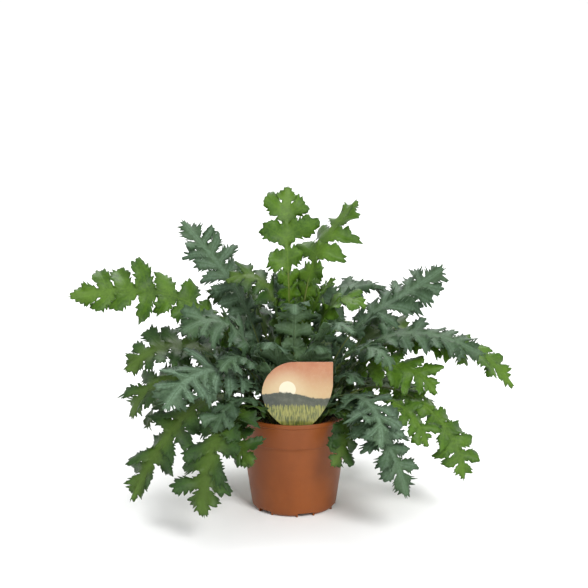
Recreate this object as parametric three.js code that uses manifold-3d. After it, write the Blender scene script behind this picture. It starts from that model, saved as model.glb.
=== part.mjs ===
// A fern with lobed, wavy fronds in a round plastic nursery pot, with its potting soil,
// creeping rhizomes and a plain plant tag.
// Millimetres, +Z up. The origin is the centre of the pot's base, and -Y is the front.
import * as THREE from 'three';
import { mergeVertices } from 'three/addons/utils/BufferGeometryUtils.js';
import Module from 'manifold-3d';

const wasm = await Module();
wasm.setup();

// Driving dimensions of the pot, a 12 cm nursery pot.
const POT_HEIGHT = 106;
const RIM_RADIUS = 60;
const FOOT_RADIUS = 45.5;
const WALL = 1.4;
const COLLAR_HEIGHT = 27;
const COLLAR_LOW = POT_HEIGHT - COLLAR_HEIGHT;
const COLLAR_STEP = 1.4;
const COLLAR_FLARE = 2.1;
const LIP_HEIGHT = 5;
const LIP_OUT = 0.9;
const LEDGE = 0.8;
const CORNER_RADIUS = 6;
const BASE = 1.6;
const CHANNEL_COUNT = 6;
const CHANNEL_WIDTH = 17;
const CHANNEL_HEIGHT = 4;
const CHANNEL_START = 27;
const CHANNEL_TURN = 286;
const DRAIN_CENTRE = 35;
const DRAIN_RADIUS = 5;
const ROUND_SIDES = 30;
const SOIL_SIDES = 20;

// The soil, the holes in it, and the clearance that separate pieces keep between them.
const CLEAR = 0.3;
const MERGE = 1e-4;
const SOIL_TOP = 96;
const SOIL_CROWN = 2;
const HOLE_RADIUS = 2.3;
const HOLE_SIDES = 4;
const HOLE_ABOVE = 6;

// The plant tag: edges of its card, its square-cornered top, its stake, and where it stands.
const TAG = {
  y: -50, left: -33.5, right: 40.5, top: 172, low: 105, middle: 3,
  stake: 12, foot: 58, corner: 34, neck: 7, rightHeel: 0.48, leftHeel: 0.42,
  rightBend: [0.93, 18], leftBend: [0.95, 14], shoulder: 26,
};
const TAG_THICKNESS = 0.8;

// Creeping rhizomes, each in an arc between two azimuths.
const RHIZOMES = [
  { from: 300, to: 352, radius: 46, wander: 1.5, thick: 4.2 },
  { from: 40, to: 105, radius: 45, wander: -2, thick: 4.4 },
  { from: 168, to: 226, radius: 45, wander: 2, thick: 4 },
];
const RHIZOME_RINGS = 6;
const RHIZOME_SIDES = 6;

// Fronds: where their feet stand, from the rim for the lowest to the middle for the steepest.
const FEET = { near: 5, far: 42, lowRise: 50 };

// How far the midrib holds its first and last directions, as shares of its chord.
const LAUNCH = 0.62;
const LANDING = 0.42;
const LEAST_CHORD = 90;

// Stalk and blade thicknesses, and how the blade is divided.
const STALK_RADIUS = 1.3;
const STALK_SUNK = 12;
const STALK_SECTIONS = 2;
const SPINE_STEPS = 40;
const RIB_HALF = 1.0;
const BLADE_HALF = 0.42;
const LOBED_SHARE = 0.78;
const WING_SHARE = 0.2;
const STAGGER = 0.12;
const LEAN = [70, 46];
const LENGTHS = [0.84, 1.14];
const LOBE_WIDTH = 0.42;
const ARCH = 0.16;
const CURL = [-0.08, 0.2];
const TWIST = [0.05, 0.32];
const HEEL_LIFT = 0.1;
const FIRST_LOBE = 0.85;
const FIRST_WING = 0.35;
const END_WAVE = 2;

// The blade's half width swells and narrows like part of a sine wave, from and over these shares.
const SWELL = { from: 0.13, over: 0.78, power: 0.75 };

// Corners of a lobe, as shares of the way along the rib, out and across; then those of the end
// lobe, as shares of its length along the rib and along the edge, and of the blade's half width.
const LOBE_CORNERS = [[0.28, 0.76, -1], [0.5, 1, 0], [0.74, 0.74, 1]];
const END_CORNERS = [[0.4, 0.5, 0.56], [0.74, 0.8, 0.36]];

// One row for each frond: name, azimuth of its tip, distance of the tip from the axis, height of
// the tip, angle at which it rises, angle at which its tip falls, sideways sweep, share of the
// length that is bare stalk, half width of the blade, pairs of lobes, roll, and how blue it is.
// Angles are in degrees; azimuth 0 is +X and 270 is the front.
const FRONDS = [
  ['low_front_left', 235, 156, 30, 60, 82, 9, 0.2, 40, 6, -8, 0.6],
  ['low_left', 203, 186, 27, 57, 64, -1, 0.26, 33, 7, -34, 0.35],
  ['low_left_side', 181, 176, 96, 62, 80, -5, 0.28, 34, 6, -45, 0.6],
  ['low_back_left', 157, 182, 62, 58, 76, -6, 0.3, 36, 5, -20, 0.7],
  ['low_back_1', 128, 184, 48, 58, 78, 4, 0.3, 36, 4, -10, 0.5],
  ['low_back_2', 98, 180, 58, 58, 76, -4, 0.3, 36, 5, 0, 0.8],
  ['low_back_3', 68, 186, 46, 58, 78, 4, 0.3, 36, 4, 0, 0.6],
  ['low_back_right', 38, 180, 62, 58, 76, -4, 0.3, 36, 5, 10, 0.7],
  ['low_right_side', 12, 176, 62, 58, 78, 4, 0.3, 32, 5, 20, 0.4],
  ['low_right', 337, 152, 82, 60, 80, 4, 0.5, 22, 5, 30, 0.3],
  ['low_front_right', 317, 157, 43, 60, 74, -1, 0.24, 30, 6, 18, 0.8],
  ['low_front_rim', 295, 88, 68, 66, 86, -38, 0.34, 22, 4, 0, 0.5],
  ['low_front_inner', 246, 100, 72, 62, 84, 36, 0.28, 26, 4, 0, 0.5],
  ['mid_front_left', 215, 160, 130, 70, 56, 6, 0.28, 38, 7, -42, 1],
  ['front_left_mid', 228, 122, 106, 64, 62, 2, 0.38, 24, 4, -8, 0.85],
  ['mid_left', 184, 182, 151, 62, 44, 8, 0.35, 35, 6, -45, 0.6],
  ['mid_back_left', 149, 188, 150, 68, 50, -4, 0.38, 34, 5, -16, 0.8],
  ['mid_back_1', 126, 190, 139, 67, 54, -4, 0.34, 34, 4, -10, 0.4],
  ['mid_back_2', 98, 188, 152, 68, 50, -4, 0.32, 36, 5, 0, 0.9],
  ['mid_back_3', 67, 190, 142, 67, 54, 4, 0.32, 36, 4, 0, 0.6],
  ['mid_back_right', 34, 192, 146, 67, 54, 4, 0.32, 36, 5, 20, 0.5],
  ['right_reaching', 2, 241, 128, 66, 54, 0, 0.38, 30, 7, 40, 0.3],
  ['right_hanging', 344, 186, 42, 60, 88, -6, 0.54, 28, 5, 55, 0.2],
  ['mid_front_right', 308, 140, 95, 65, 74, -15, 0.36, 30, 6, 10, 1],
  ['mid_right_down', 329, 118, 164, 78, 72, -4, 0.42, 25, 6, 10, 0.9],
  ['mid_right_low', 347, 156, 132, 66, 60, 2, 0.36, 30, 5, 40, 0.15],
  ['left_long', 179, 243, 230, 68, 6, 8, 0.42, 34, 6, -75, 0.1],
  ['upper_left', 154, 138, 306, 74, -46, 0, 0.4, 32, 8, -30, 0.9],
  ['upper_right', 14, 171, 257, 72, -36, 0, 0.42, 32, 7, 40, 0.95],
  ['right_shoulder', 354, 205, 170, 69, 30, 0, 0.42, 30, 7, 35, 0.85],
  ['left_shoulder', 205, 130, 202, 74, 34, 0, 0.38, 33, 5, -38, 0.9],
  ['back_shoulder_1', 130, 150, 214, 75, 26, 0, 0.42, 34, 4, -10, 0.6],
  ['back_shoulder_2', 89, 150, 228, 77, 24, 0, 0.42, 34, 5, 0, 0.3],
  ['back_shoulder_3', 49, 154, 219, 77, 26, 0, 0.43, 34, 4, 10, 0.8],
  ['front_left_high', 219, 100, 164, 73, 52, -3, 0.38, 26, 5, -20, 1],
  ['front_right_high', 327, 88, 146, 69, 48, 3, 0.42, 21, 3, 0, 0.8],
  ['rim_right', 320, 92, 92, 56, 72, 6, 0.36, 20, 3, 6, 0.7],
  ['core_right', 315, 88, 203, 80, 36, 0, 0.48, 19, 4, 10, 1],
  ['above_tag_left', 243, 68, 186, 72, 34, 0, 0.36, 25, 3, 0, 1],
  ['above_tag_right', 299, 64, 182, 72, 34, 0, 0.42, 24, 3, 0, 0.9],
  ['crown_left', 186, 74, 250, 84, 20, 0, 0.48, 28, 5, -35, 0.4],
  ['crown_front', 271, 44, 220, 82, 40, 0, 0.48, 23, 4, 0, 0.9],
  ['crown_right', 349, 80, 224, 82, 26, 0, 0.46, 27, 5, 24, 0.2],
  ['crown_light', 5, 44, 252, 85, -50, 0, 0.56, 23, 5, 10, 0.1],
  ['small_dark', 104, 52, 252, 83, -55, -20, 0.5, 22, 5, 0, 0.9],
  ['top_left', 100, 36, 346, 88, -70, -40, 0.62, 34, 3, 0, 0.1],
  ['top_right', 42, 94, 328, 86, -42, -14, 0.56, 34, 4, 0, 0.1],
];

const root = new THREE.Group();

function material(name, colour, roughness) {
  return new THREE.MeshStandardMaterial({ name, color: colour, roughness, metalness: 0 });
}

const POT_PLASTIC = material('pot_plastic', 0x9a5a38, 0.5);
const POTTING_SOIL = material('potting_soil', 0x2c2119, 0.95);
const RHIZOME_SKIN = material('rhizome_skin', 0x8a5a2b, 0.9);
const TAG_PLASTIC = material('tag_plastic', 0xe0a060, 0.4);

// A leaf material between young green and the blue of a waxy old frond.
function leafMaterial(bloom) {
  const green = new THREE.Color(0x6f8f3c);
  const blue = new THREE.Color(0x5d7a63);
  return material('leaf', green.lerp(blue, bloom), 0.55);
}

function addNode(name, geometry, finish) {
  const mesh = new THREE.Mesh(geometry, finish);
  mesh.name = name;
  root.add(mesh);
}

// A closed geometry as a solid that can be joined and cut.
function solidOf(geometry) {
  const bare = geometry.clone();
  bare.deleteAttribute('normal');
  bare.deleteAttribute('uv');
  const merged = mergeVertices(bare, MERGE);
  return new wasm.Manifold(new wasm.Mesh({
    numProp: 3,
    vertProperties: new Float32Array(merged.attributes.position.array),
    triVerts: new Uint32Array(merged.index.array),
  }));
}

function geometryOf(solid) {
  const mesh = solid.getMesh();
  const geometry = new THREE.BufferGeometry();
  const position = new Float32Array(mesh.vertProperties);
  geometry.setAttribute('position', new THREE.BufferAttribute(position, 3));
  geometry.setIndex(new THREE.BufferAttribute(new Uint32Array(mesh.triVerts), 1));
  geometry.computeVertexNormals();
  return geometry;
}

// A repeatable number from 0 to 1 for each pair of whole numbers.
function scatter(seed, index) {
  const wave = Math.sin(seed * 127.1 + index * 311.7) * 43758.5453;
  return wave - Math.floor(wave);
}

function spread(seed, index, low, high) {
  return low + (high - low) * scatter(seed, index);
}

function degrees(angle) {
  return angle * Math.PI / 180;
}

function bezier(p, t) {
  const u = 1 - t;
  return u * u * u * p[0] + 3 * u * u * t * p[1] + 3 * u * t * t * p[2] + t * t * t * p[3];
}

// Stalks of steep fronds stand near the middle of the soil, and those of low ones near the rim.
function baseRadius(rise) {
  return Math.max(FEET.near, FEET.far - (rise - FEET.lowRise));
}

// The curved midrib of a frond, sampled at even steps: places, directions and blade frames.
function spineOf(frond) {
  const start = baseRadius(frond.rise);
  const chord = Math.hypot(frond.reach - start, frond.height - SOIL_TOP);
  const launch = LAUNCH * Math.max(chord, LEAST_CHORD);
  const landing = LANDING * chord;
  const rise = degrees(frond.rise);
  const fall = degrees(frond.fall);
  const radii = [
    start,
    start + launch * Math.cos(rise),
    frond.reach - landing * Math.cos(fall),
    frond.reach,
  ];
  const heights = [
    SOIL_TOP,
    SOIL_TOP + launch * Math.sin(rise),
    frond.height + landing * Math.sin(fall),
    frond.height,
  ];
  const places = [];
  const turns = [];
  for (let i = 0; i <= SPINE_STEPS; i++) {
    const t = i / SPINE_STEPS;
    const r = bezier(radii, t);
    const turn = degrees(frond.azimuth - frond.sweep + frond.sweep * t * t);
    turns.push(turn);
    places.push(new THREE.Vector3(r * Math.cos(turn), r * Math.sin(turn), bezier(heights, t)));
  }
  const ahead = places.map((_, i) => {
    const from = places[Math.max(0, i - 1)];
    const to = places[Math.min(SPINE_STEPS, i + 1)];
    return to.clone().sub(from).normalize();
  });
  const across = [];
  const up = [];
  const along = [0];
  for (let i = 0; i <= SPINE_STEPS; i++) {
    const side = new THREE.Vector3(-Math.sin(turns[i]), Math.cos(turns[i]), 0);
    side.addScaledVector(ahead[i], -side.dot(ahead[i])).normalize();
    const top = ahead[i].clone().cross(side);
    const roll = degrees(frond.roll) * i / SPINE_STEPS;
    const c = Math.cos(roll);
    const s = Math.sin(roll);
    across.push(side.clone().multiplyScalar(c).addScaledVector(top, s));
    up.push(top.clone().multiplyScalar(c).addScaledVector(side, -s));
    if (i > 0) along.push(along[i - 1] + places[i].distanceTo(places[i - 1]));
  }
  return { places, ahead, across, up, along, length: along[SPINE_STEPS] };
}

// The midrib's place and frame at a distance along it; past either end it runs on straight.
function stationAt(spine, distance) {
  const { along } = spine;
  let i = 0;
  while (i < SPINE_STEPS - 1 && along[i + 1] < distance) i++;
  const t = (distance - along[i]) / (along[i + 1] - along[i]);
  const inside = Math.min(1, Math.max(0, t));
  const place = spine.places[i].clone().lerp(spine.places[i + 1], t);
  const mixed = (list) => list[i].clone().lerp(list[i + 1], inside).normalize();
  return { place, ahead: mixed(spine.ahead), across: mixed(spine.across), up: mixed(spine.up) };
}

// Half width of the blade at a share of its length, before it is cut into lobes.
function envelope(frond, share) {
  return frond.halfWidth * Math.sin(Math.PI * (SWELL.from + SWELL.over * share)) ** SWELL.power;
}

function arch(frond, b) {
  return -ARCH * frond.halfWidth * (b / frond.halfWidth) ** 2;
}

// Angle between the midrib and a lobe: lobes lean further forward towards the tip.
function leanAt(share) {
  return degrees(LEAN[0] + (LEAN[1] - LEAN[0]) * share);
}

// One edge of a blade as [rib distance, edge distance, edge offset, edge height] corners:
// a notch, a shoulder, a point and a shoulder for each lobe, and the end lobe.
function edgeOf(frond, side) {
  const hand = side > 0 ? 0 : 1;
  const pitch = frond.blade * LOBED_SHARE / frond.lobes;
  const shift = pitch * STAGGER * hand;
  const corners = [];
  for (let i = 0; i <= frond.lobes; i++) {
    const border = i * pitch + (i === 0 || i === frond.lobes ? 0 : shift);
    const wing = WING_SHARE * envelope(frond, border / frond.blade) * (i === 0 ? FIRST_WING : 1);
    const notch = i === 0 ? 0 : border + wing / Math.tan(leanAt(border / frond.blade));
    corners.push([i * pitch, notch, wing, arch(frond, wing)]);
    if (i === frond.lobes) break;
    const centre = (i + 0.5) * pitch + shift * (i === frond.lobes - 1 ? 0.5 : 1);
    const lean = leanAt(centre / frond.blade);
    const draw = spread(frond.seed, 10 + i * 7 + hand, LENGTHS[0], LENGTHS[1]);
    const length = envelope(frond, centre / frond.blade) * draw * (i === 0 ? FIRST_LOBE : 1);
    const half = LOBE_WIDTH * pitch * Math.sin(lean);
    const curl = spread(frond.seed, 200 + i * 7 + hand, CURL[0], CURL[1]);
    const twist = spread(frond.seed, 400 + i * 7 + hand, TWIST[0], TWIST[1]);
    for (const [rib, x, y] of LOBE_CORNERS) {
      const out = x * length;
      const wide = y * half;
      const a = centre + out * Math.cos(lean) + wide * Math.sin(lean);
      const b = out * Math.sin(lean) - wide * Math.cos(lean);
      const lift = HEEL_LIFT * length * y * y + twist * wide - curl * length * x * x;
      corners.push([(i + rib) * pitch, a, b, arch(frond, b) + lift]);
    }
  }
  const end = frond.blade * LOBED_SHARE;
  const rest = frond.blade - end;
  const wide = envelope(frond, LOBED_SHARE);
  END_CORNERS.forEach(([rib, a, b], k) => {
    const wave = spread(frond.seed, 600 + k * 2 + hand, -END_WAVE, END_WAVE);
    corners.push([end + rest * rib, end + rest * a, b * wide, arch(frond, b * wide) + wave]);
  });
  return corners;
}

// The cross-sections of a frond from its sunk foot to its tip. Each has six corners: the top of
// the rib, the left edge's top and bottom, the bottom of the rib, and the right edge's.
function sectionsOf(frond, leftEdge, rightEdge) {
  const { spine } = frond;
  const sections = [];
  const section = (rib, left, right, ribHalf, edgeHalf) => {
    const corner = ([a, b, h], side, lift) => {
      const at = stationAt(spine, a);
      return at.place.addScaledVector(at.across, side * b).addScaledVector(at.up, h + lift);
    };
    sections.push([
      corner([rib, 0, 0], 0, ribHalf),
      corner(left, 1, edgeHalf),
      corner(left, 1, -edgeHalf),
      corner([rib, 0, 0], 0, -ribHalf),
      corner(right, -1, -edgeHalf),
      corner(right, -1, edgeHalf),
    ]);
  };
  const stalk = [-STALK_SUNK];
  for (let i = 0; i < STALK_SECTIONS; i++) stalk.push(frond.stalk * i / STALK_SECTIONS);
  for (const a of stalk) {
    const rim = [a, STALK_RADIUS * 0.87, 0];
    section(a, rim, rim, STALK_RADIUS, STALK_RADIUS / 2);
  }
  leftEdge.forEach(([rib, a, b, h], i) => {
    const [, otherA, otherB, otherH] = rightEdge[i];
    const share = rib / frond.blade;
    const ribHalf = RIB_HALF + (BLADE_HALF - RIB_HALF) * share;
    const edgeHalf = i === 0 ? STALK_RADIUS / 2 : BLADE_HALF;
    section(frond.stalk + rib, [frond.stalk + a, b, h],
      [frond.stalk + otherA, otherB, otherH], ribHalf, edgeHalf);
  });
  return sections;
}

// Twice the area of a triangle in the flat blade.
function flatArea(p, q, r) {
  return (q[0] - p[0]) * (r[1] - p[1]) - (r[0] - p[0]) * (q[1] - p[1]);
}

// A frond as one closed skin over its sections. Both faces of the blade are split along the same
// diagonals, so that they never cross where it is waved.
function frondGeometry(frond) {
  const left = edgeOf(frond, 1);
  const right = edgeOf(frond, -1);
  const sections = sectionsOf(frond, left, right);
  const tip = stationAt(frond.spine, frond.spine.length).place;
  const points = [...sections.flat(), tip];
  const triangles = [];
  const corner = (section, k) => section * 6 + (k % 6);
  const first = STALK_SECTIONS + 1;
  // True where the cut from this rib point to the next edge point keeps both halves inside.
  const cutForward = (j, edge) => {
    if (j < first || j >= sections.length - 1) return true;
    const [rib, a, b] = edge[j - first];
    const [nextRib, nextA, nextB] = edge[j - first + 1];
    const forward = Math.min(
      flatArea([rib, 0], [nextRib, 0], [nextA, nextB]),
      flatArea([rib, 0], [nextA, nextB], [a, b]),
    );
    const backward = Math.min(
      flatArea([rib, 0], [nextRib, 0], [a, b]),
      flatArea([nextRib, 0], [nextA, nextB], [a, b]),
    );
    return forward >= backward;
  };
  for (let j = 0; j < sections.length - 1; j++) {
    for (let k = 0; k < 6; k++) {
      const a = corner(j, k);
      const b = corner(j, k + 1);
      const c = corner(j + 1, k + 1);
      const d = corner(j + 1, k);
      // Sides 0 and 5 touch the rib's top, 2 and 3 its bottom, and 1 and 4 are the edges.
      const forward = cutForward(j, k < 3 ? left : right);
      const ribFirst = k === 0 || k === 3;
      const fromA = k === 1 || k === 4 ? true : ribFirst === forward;
      if (fromA) triangles.push(a, c, b, a, d, c);
      else triangles.push(a, d, b, b, d, c);
    }
  }
  const last = (sections.length - 1) * 6;
  for (let k = 0; k < 6; k++) triangles.push(last + k, points.length - 1, last + (k + 1) % 6);
  for (let k = 1; k < 5; k++) triangles.push(0, k, k + 1);
  const geometry = new THREE.BufferGeometry().setFromPoints(points);
  geometry.setIndex(triangles);
  geometry.computeVertexNormals();
  return geometry;
}

// The plain hole that a frond's foot stands in.
function footHole(frond) {
  const low = stationAt(frond.spine, -STALK_SUNK - CLEAR);
  const high = stationAt(frond.spine, HOLE_ABOVE);
  const length = low.place.distanceTo(high.place);
  const prism = new THREE.CylinderGeometry(HOLE_RADIUS, HOLE_RADIUS, length, HOLE_SIDES);
  const lean = new THREE.Quaternion().setFromUnitVectors(
    new THREE.Vector3(0, 1, 0),
    high.place.clone().sub(low.place).normalize(),
  );
  prism.applyQuaternion(lean);
  const middle = low.place.clone().lerp(high.place, 0.5);
  return solidOf(prism.translate(middle.x, middle.y, middle.z));
}

const fronds = FRONDS.map((row, i) => {
  const [name, azimuth, reach, height, rise, fall, sweep, bare, halfWidth, lobes, roll, bloom] = row;
  const frond = { name, azimuth, reach, height, rise, fall, sweep, halfWidth, lobes, roll, bloom };
  frond.seed = i + 1;
  frond.spine = spineOf(frond);
  frond.stalk = bare * frond.spine.length;
  frond.blade = frond.spine.length - frond.stalk;
  return frond;
});

// Radius of the pot's outer wall below its collar.
function wallRadius(z) {
  const top = RIM_RADIUS - COLLAR_STEP - COLLAR_FLARE;
  return FOOT_RADIUS + (top - FOOT_RADIUS) * z / COLLAR_LOW;
}

function wallInside(z) {
  return wallRadius(z) - WALL;
}

// Solid turned round +Z from [radius, height] pairs that start and end on the axis.
function turned(profile, sides) {
  const points = profile.map(([r, z]) => new THREE.Vector2(r, z));
  return solidOf(new THREE.LatheGeometry(points, sides).rotateX(Math.PI / 2));
}

function box(width, depth, height, x, y, z, turn = 0) {
  const geometry = new THREE.BoxGeometry(width, depth, height).translate(x, y, z);
  return solidOf(geometry.rotateZ(turn));
}

// A block for each drain channel, grown on all sides: the channel itself when grow is 0.
function channelBlocks(grow) {
  const blocks = [];
  for (let i = 0; i < CHANNEL_COUNT; i++) {
    const turn = degrees(CHANNEL_TURN + i * 360 / CHANNEL_COUNT);
    const start = CHANNEL_START - grow;
    const long = FOOT_RADIUS + 10 - start;
    const height = CHANNEL_HEIGHT + grow;
    blocks.push(box(long, CHANNEL_WIDTH + 2 * grow, 2 * height, start + long / 2, 0, 0, turn));
  }
  return blocks;
}

// The pot: a tapered wall with a collar and a lip, a rounded foot, and low channels under the
// base that let water from the drain holes out at the sides.
function makePot() {
  const foot = wallRadius(CORNER_RADIUS);
  const outside = [
    [0, 0],
    [foot - CORNER_RADIUS, 0],
    [foot - CORNER_RADIUS * 0.25, CORNER_RADIUS * 0.35],
    [wallRadius(CORNER_RADIUS * 1.3), CORNER_RADIUS * 1.3],
    [wallRadius(COLLAR_LOW), COLLAR_LOW],
    [wallRadius(COLLAR_LOW) + COLLAR_STEP, COLLAR_LOW + LEDGE],
    [RIM_RADIUS - LIP_OUT, POT_HEIGHT - LIP_HEIGHT],
    [RIM_RADIUS, POT_HEIGHT - LIP_HEIGHT + LEDGE],
    [RIM_RADIUS - LIP_OUT / 4, POT_HEIGHT],
  ];
  const inside = [
    [RIM_RADIUS - WALL - LIP_OUT, POT_HEIGHT],
    [wallInside(COLLAR_LOW), COLLAR_LOW],
    [wallInside(CORNER_RADIUS * 1.3), CORNER_RADIUS * 1.3],
    [wallInside(BASE) - CORNER_RADIUS * 0.5, BASE],
    [0, BASE],
  ];
  const filled = turned([...outside, [0, POT_HEIGHT]], ROUND_SIDES);
  let pot = turned([...outside, ...inside], ROUND_SIDES);
  for (const block of channelBlocks(WALL)) pot = pot.add(block.intersect(filled));
  for (const channel of channelBlocks(0)) pot = pot.subtract(channel);
  for (let i = 0; i < CHANNEL_COUNT; i++) {
    const turn = degrees(CHANNEL_TURN + i * 360 / CHANNEL_COUNT);
    const drain = new THREE.CylinderGeometry(DRAIN_RADIUS, DRAIN_RADIUS, 30, 8)
      .rotateX(Math.PI / 2).translate(DRAIN_CENTRE, 0, 0).rotateZ(turn);
    pot = pot.subtract(solidOf(drain));
  }
  return pot;
}

// The block of soil inside the pot, a little clear of its wall, base and channel blocks.
function makeSoil() {
  const topRadius = wallRadius(COLLAR_LOW) - WALL - CLEAR + 0.4;
  let soil = turned([
    [0, BASE + CLEAR],
    [wallInside(BASE) - CORNER_RADIUS * 0.5 - CLEAR, BASE + CLEAR],
    [wallInside(CORNER_RADIUS * 1.3) - CLEAR, CORNER_RADIUS * 1.3 + CLEAR],
    [wallRadius(COLLAR_LOW) - WALL - CLEAR, COLLAR_LOW],
    [topRadius, SOIL_TOP - SOIL_CROWN],
    [topRadius - 9, SOIL_TOP],
    [0, SOIL_TOP],
  ], SOIL_SIDES);
  for (const block of channelBlocks(WALL + CLEAR)) soil = soil.subtract(block);
  return soil;
}

// A creeping rhizome: a thick root that lies in an arc on the soil and ends in a blunt nose.
function rhizomeSolid(plan, extra) {
  const { from, to, radius, wander, thick } = plan;
  const points = [];
  for (let i = 0; i <= RHIZOME_RINGS; i++) {
    const t = i / RHIZOME_RINGS;
    const end = i === 0 ? -1 : i === RHIZOME_RINGS ? 1 : 0;
    const turn = degrees(from + (to - from) * t) + end * extra / radius;
    const swell = 0.3 + 0.7 * Math.sqrt(Math.max(0, 1 - (2 * t - 1) ** 4));
    const girth = thick * swell * (1 + 0.1 * Math.sin(t * 9)) + extra;
    for (let k = 0; k < RHIZOME_SIDES; k++) {
      const around = 2 * Math.PI * k / RHIZOME_SIDES;
      const r = radius + wander * Math.sin(Math.PI * 2 * t) + girth * Math.cos(around);
      const z = SOIL_TOP + thick * 0.2 + girth * Math.sin(around);
      points.push(new THREE.Vector3(r * Math.cos(turn), r * Math.sin(turn), z));
    }
  }
  const triangles = [];
  const last = RHIZOME_RINGS * RHIZOME_SIDES;
  for (let i = 0; i < RHIZOME_RINGS; i++) {
    for (let k = 0; k < RHIZOME_SIDES; k++) {
      const a = i * RHIZOME_SIDES + k;
      const b = i * RHIZOME_SIDES + (k + 1) % RHIZOME_SIDES;
      triangles.push(a, b + RHIZOME_SIDES, b, a, a + RHIZOME_SIDES, b + RHIZOME_SIDES);
    }
  }
  for (let k = 1; k < RHIZOME_SIDES - 1; k++) {
    triangles.push(0, k, k + 1, last, last + k + 1, last + k);
  }
  return solidOf(new THREE.BufferGeometry().setFromPoints(points).setIndex(triangles));
}

// The plant tag: a round-shouldered card with one square corner, on a stake pushed in the soil.
function tagSolid(grow) {
  const { left, right, top, low, middle, foot, corner, neck } = TAG;
  const half = TAG.stake / 2 + grow;
  const [rightOut, rightUp] = TAG.rightBend;
  const [leftOut, leftUp] = TAG.leftBend;
  const shape = new THREE.Shape();
  shape.moveTo(middle - half, foot - grow);
  shape.lineTo(middle + half, foot - grow);
  shape.lineTo(middle + half, low - neck);
  shape.lineTo(right * TAG.rightHeel, low);
  shape.quadraticCurveTo(right * rightOut, low + rightUp, right, top - TAG.shoulder);
  shape.lineTo(right, top);
  shape.lineTo(left + corner, top);
  shape.absarc(left + corner, top - corner, corner, Math.PI / 2, Math.PI, false);
  shape.quadraticCurveTo(left * leftOut, low + leftUp, left * TAG.leftHeel, low);
  shape.lineTo(middle - half, low - neck);
  const depth = TAG_THICKNESS + 2 * grow;
  const card = new THREE.ExtrudeGeometry(shape, { depth, bevelEnabled: false, curveSegments: 8 });
  return solidOf(card.rotateX(Math.PI / 2).translate(0, TAG.y + depth / 2, 0));
}

const rhizomes = RHIZOMES.map((plan) => rhizomeSolid(plan, 0));
let soil = makeSoil();
soil = soil.subtract(tagSolid(CLEAR));
for (const plan of RHIZOMES) soil = soil.subtract(rhizomeSolid(plan, CLEAR));
for (const frond of fronds) soil = soil.subtract(footHole(frond));

addNode('pot', geometryOf(makePot()), POT_PLASTIC);
addNode('soil', geometryOf(soil), POTTING_SOIL);
addNode('plant_tag', geometryOf(tagSolid(0)), TAG_PLASTIC);
rhizomes.forEach((solid, i) => addNode(`rhizome_${i + 1}`, geometryOf(solid), RHIZOME_SKIN));
for (const frond of fronds) {
  addNode(`frond_${frond.name}`, frondGeometry(frond), leafMaterial(frond.bloom));
}

export default root;
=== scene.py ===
# %% [markdown]
# # A fern with frilly, blue-green fronds in a plastic nursery pot
#
# The real plant is a polypody fern from a garden centre: dozens of fronds, cut into wavy lobes
# whose ends are frilled, rise from thick hairy rhizomes in a 12 cm terracotta-coloured pot.
# A printed plant tag stands behind the front rim. Each cell below that makes a piece or a finish
# prints what it made.

# %% Load the frame
import math

import bmesh
import bpy
import numpy as np
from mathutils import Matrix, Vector
from mathutils.geometry import delaunay_2d_cdt


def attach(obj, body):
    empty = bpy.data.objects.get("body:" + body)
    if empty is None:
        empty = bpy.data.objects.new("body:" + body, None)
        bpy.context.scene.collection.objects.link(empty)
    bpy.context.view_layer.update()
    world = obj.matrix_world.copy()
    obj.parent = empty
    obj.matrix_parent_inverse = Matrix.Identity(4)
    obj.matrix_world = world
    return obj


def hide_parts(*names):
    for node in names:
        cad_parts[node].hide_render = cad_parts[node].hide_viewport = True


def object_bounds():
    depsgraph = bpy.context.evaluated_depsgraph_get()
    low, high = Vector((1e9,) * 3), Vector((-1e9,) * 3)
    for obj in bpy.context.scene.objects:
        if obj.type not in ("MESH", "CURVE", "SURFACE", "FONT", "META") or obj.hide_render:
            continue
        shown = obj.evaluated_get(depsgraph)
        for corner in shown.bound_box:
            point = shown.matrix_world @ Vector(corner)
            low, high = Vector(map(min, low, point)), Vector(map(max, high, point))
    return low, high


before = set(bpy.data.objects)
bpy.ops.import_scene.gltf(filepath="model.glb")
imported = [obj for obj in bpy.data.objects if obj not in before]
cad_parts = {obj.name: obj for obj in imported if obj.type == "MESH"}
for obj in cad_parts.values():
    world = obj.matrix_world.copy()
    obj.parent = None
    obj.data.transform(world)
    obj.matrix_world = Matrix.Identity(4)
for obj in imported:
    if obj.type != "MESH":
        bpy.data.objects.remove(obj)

CAD_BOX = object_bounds()
MM = 0.001
print("The frame holds", len(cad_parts), "nodes, up to", round(CAD_BOX[1].z / MM), "mm high")

# %% [markdown]
# ## The camera
#
# The photograph looks slightly down on the plant from well in front of it, so the rim is a flat
# ellipse and the pot hardly tapers from perspective. The eye's height and distance follow from
# that ellipse. A long lens far away could fake the same framing, but then the near fronds would
# look too small, so the true distance is used.

# %% Camera at the photograph's angle
EYE_BACK = 1.4095
EYE_HEIGHT = 0.513
LOOK_DOWN = math.radians(11.2)
LENS = 82.6


def linked(name, data):
    """An object that holds this data, added to the scene."""
    made = bpy.data.objects.new(name, data)
    bpy.context.scene.collection.objects.link(made)
    return made


camera_data = bpy.data.cameras.new("camera")
camera_data.lens = LENS
camera = linked("camera", camera_data)
camera.location = (0, -EYE_BACK, EYE_HEIGHT)
camera.rotation_euler = (math.pi / 2 - LOOK_DOWN, 0, 0)
bpy.context.scene.camera = camera
print("Camera", round(EYE_BACK, 2), "m in front and", round(EYE_HEIGHT, 2), "m up")

# %% [markdown]
# ## From numbers to meshes
#
# Every piece here is worked out as arrays of points and triangles. Blender could also be given
# one face at a time with bmesh, which reads well for a small piece, but a frond has thousands of
# faces, and filling the mesh from whole arrays is far quicker. Sizes are in millimetres until
# this step turns them into metres.

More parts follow.
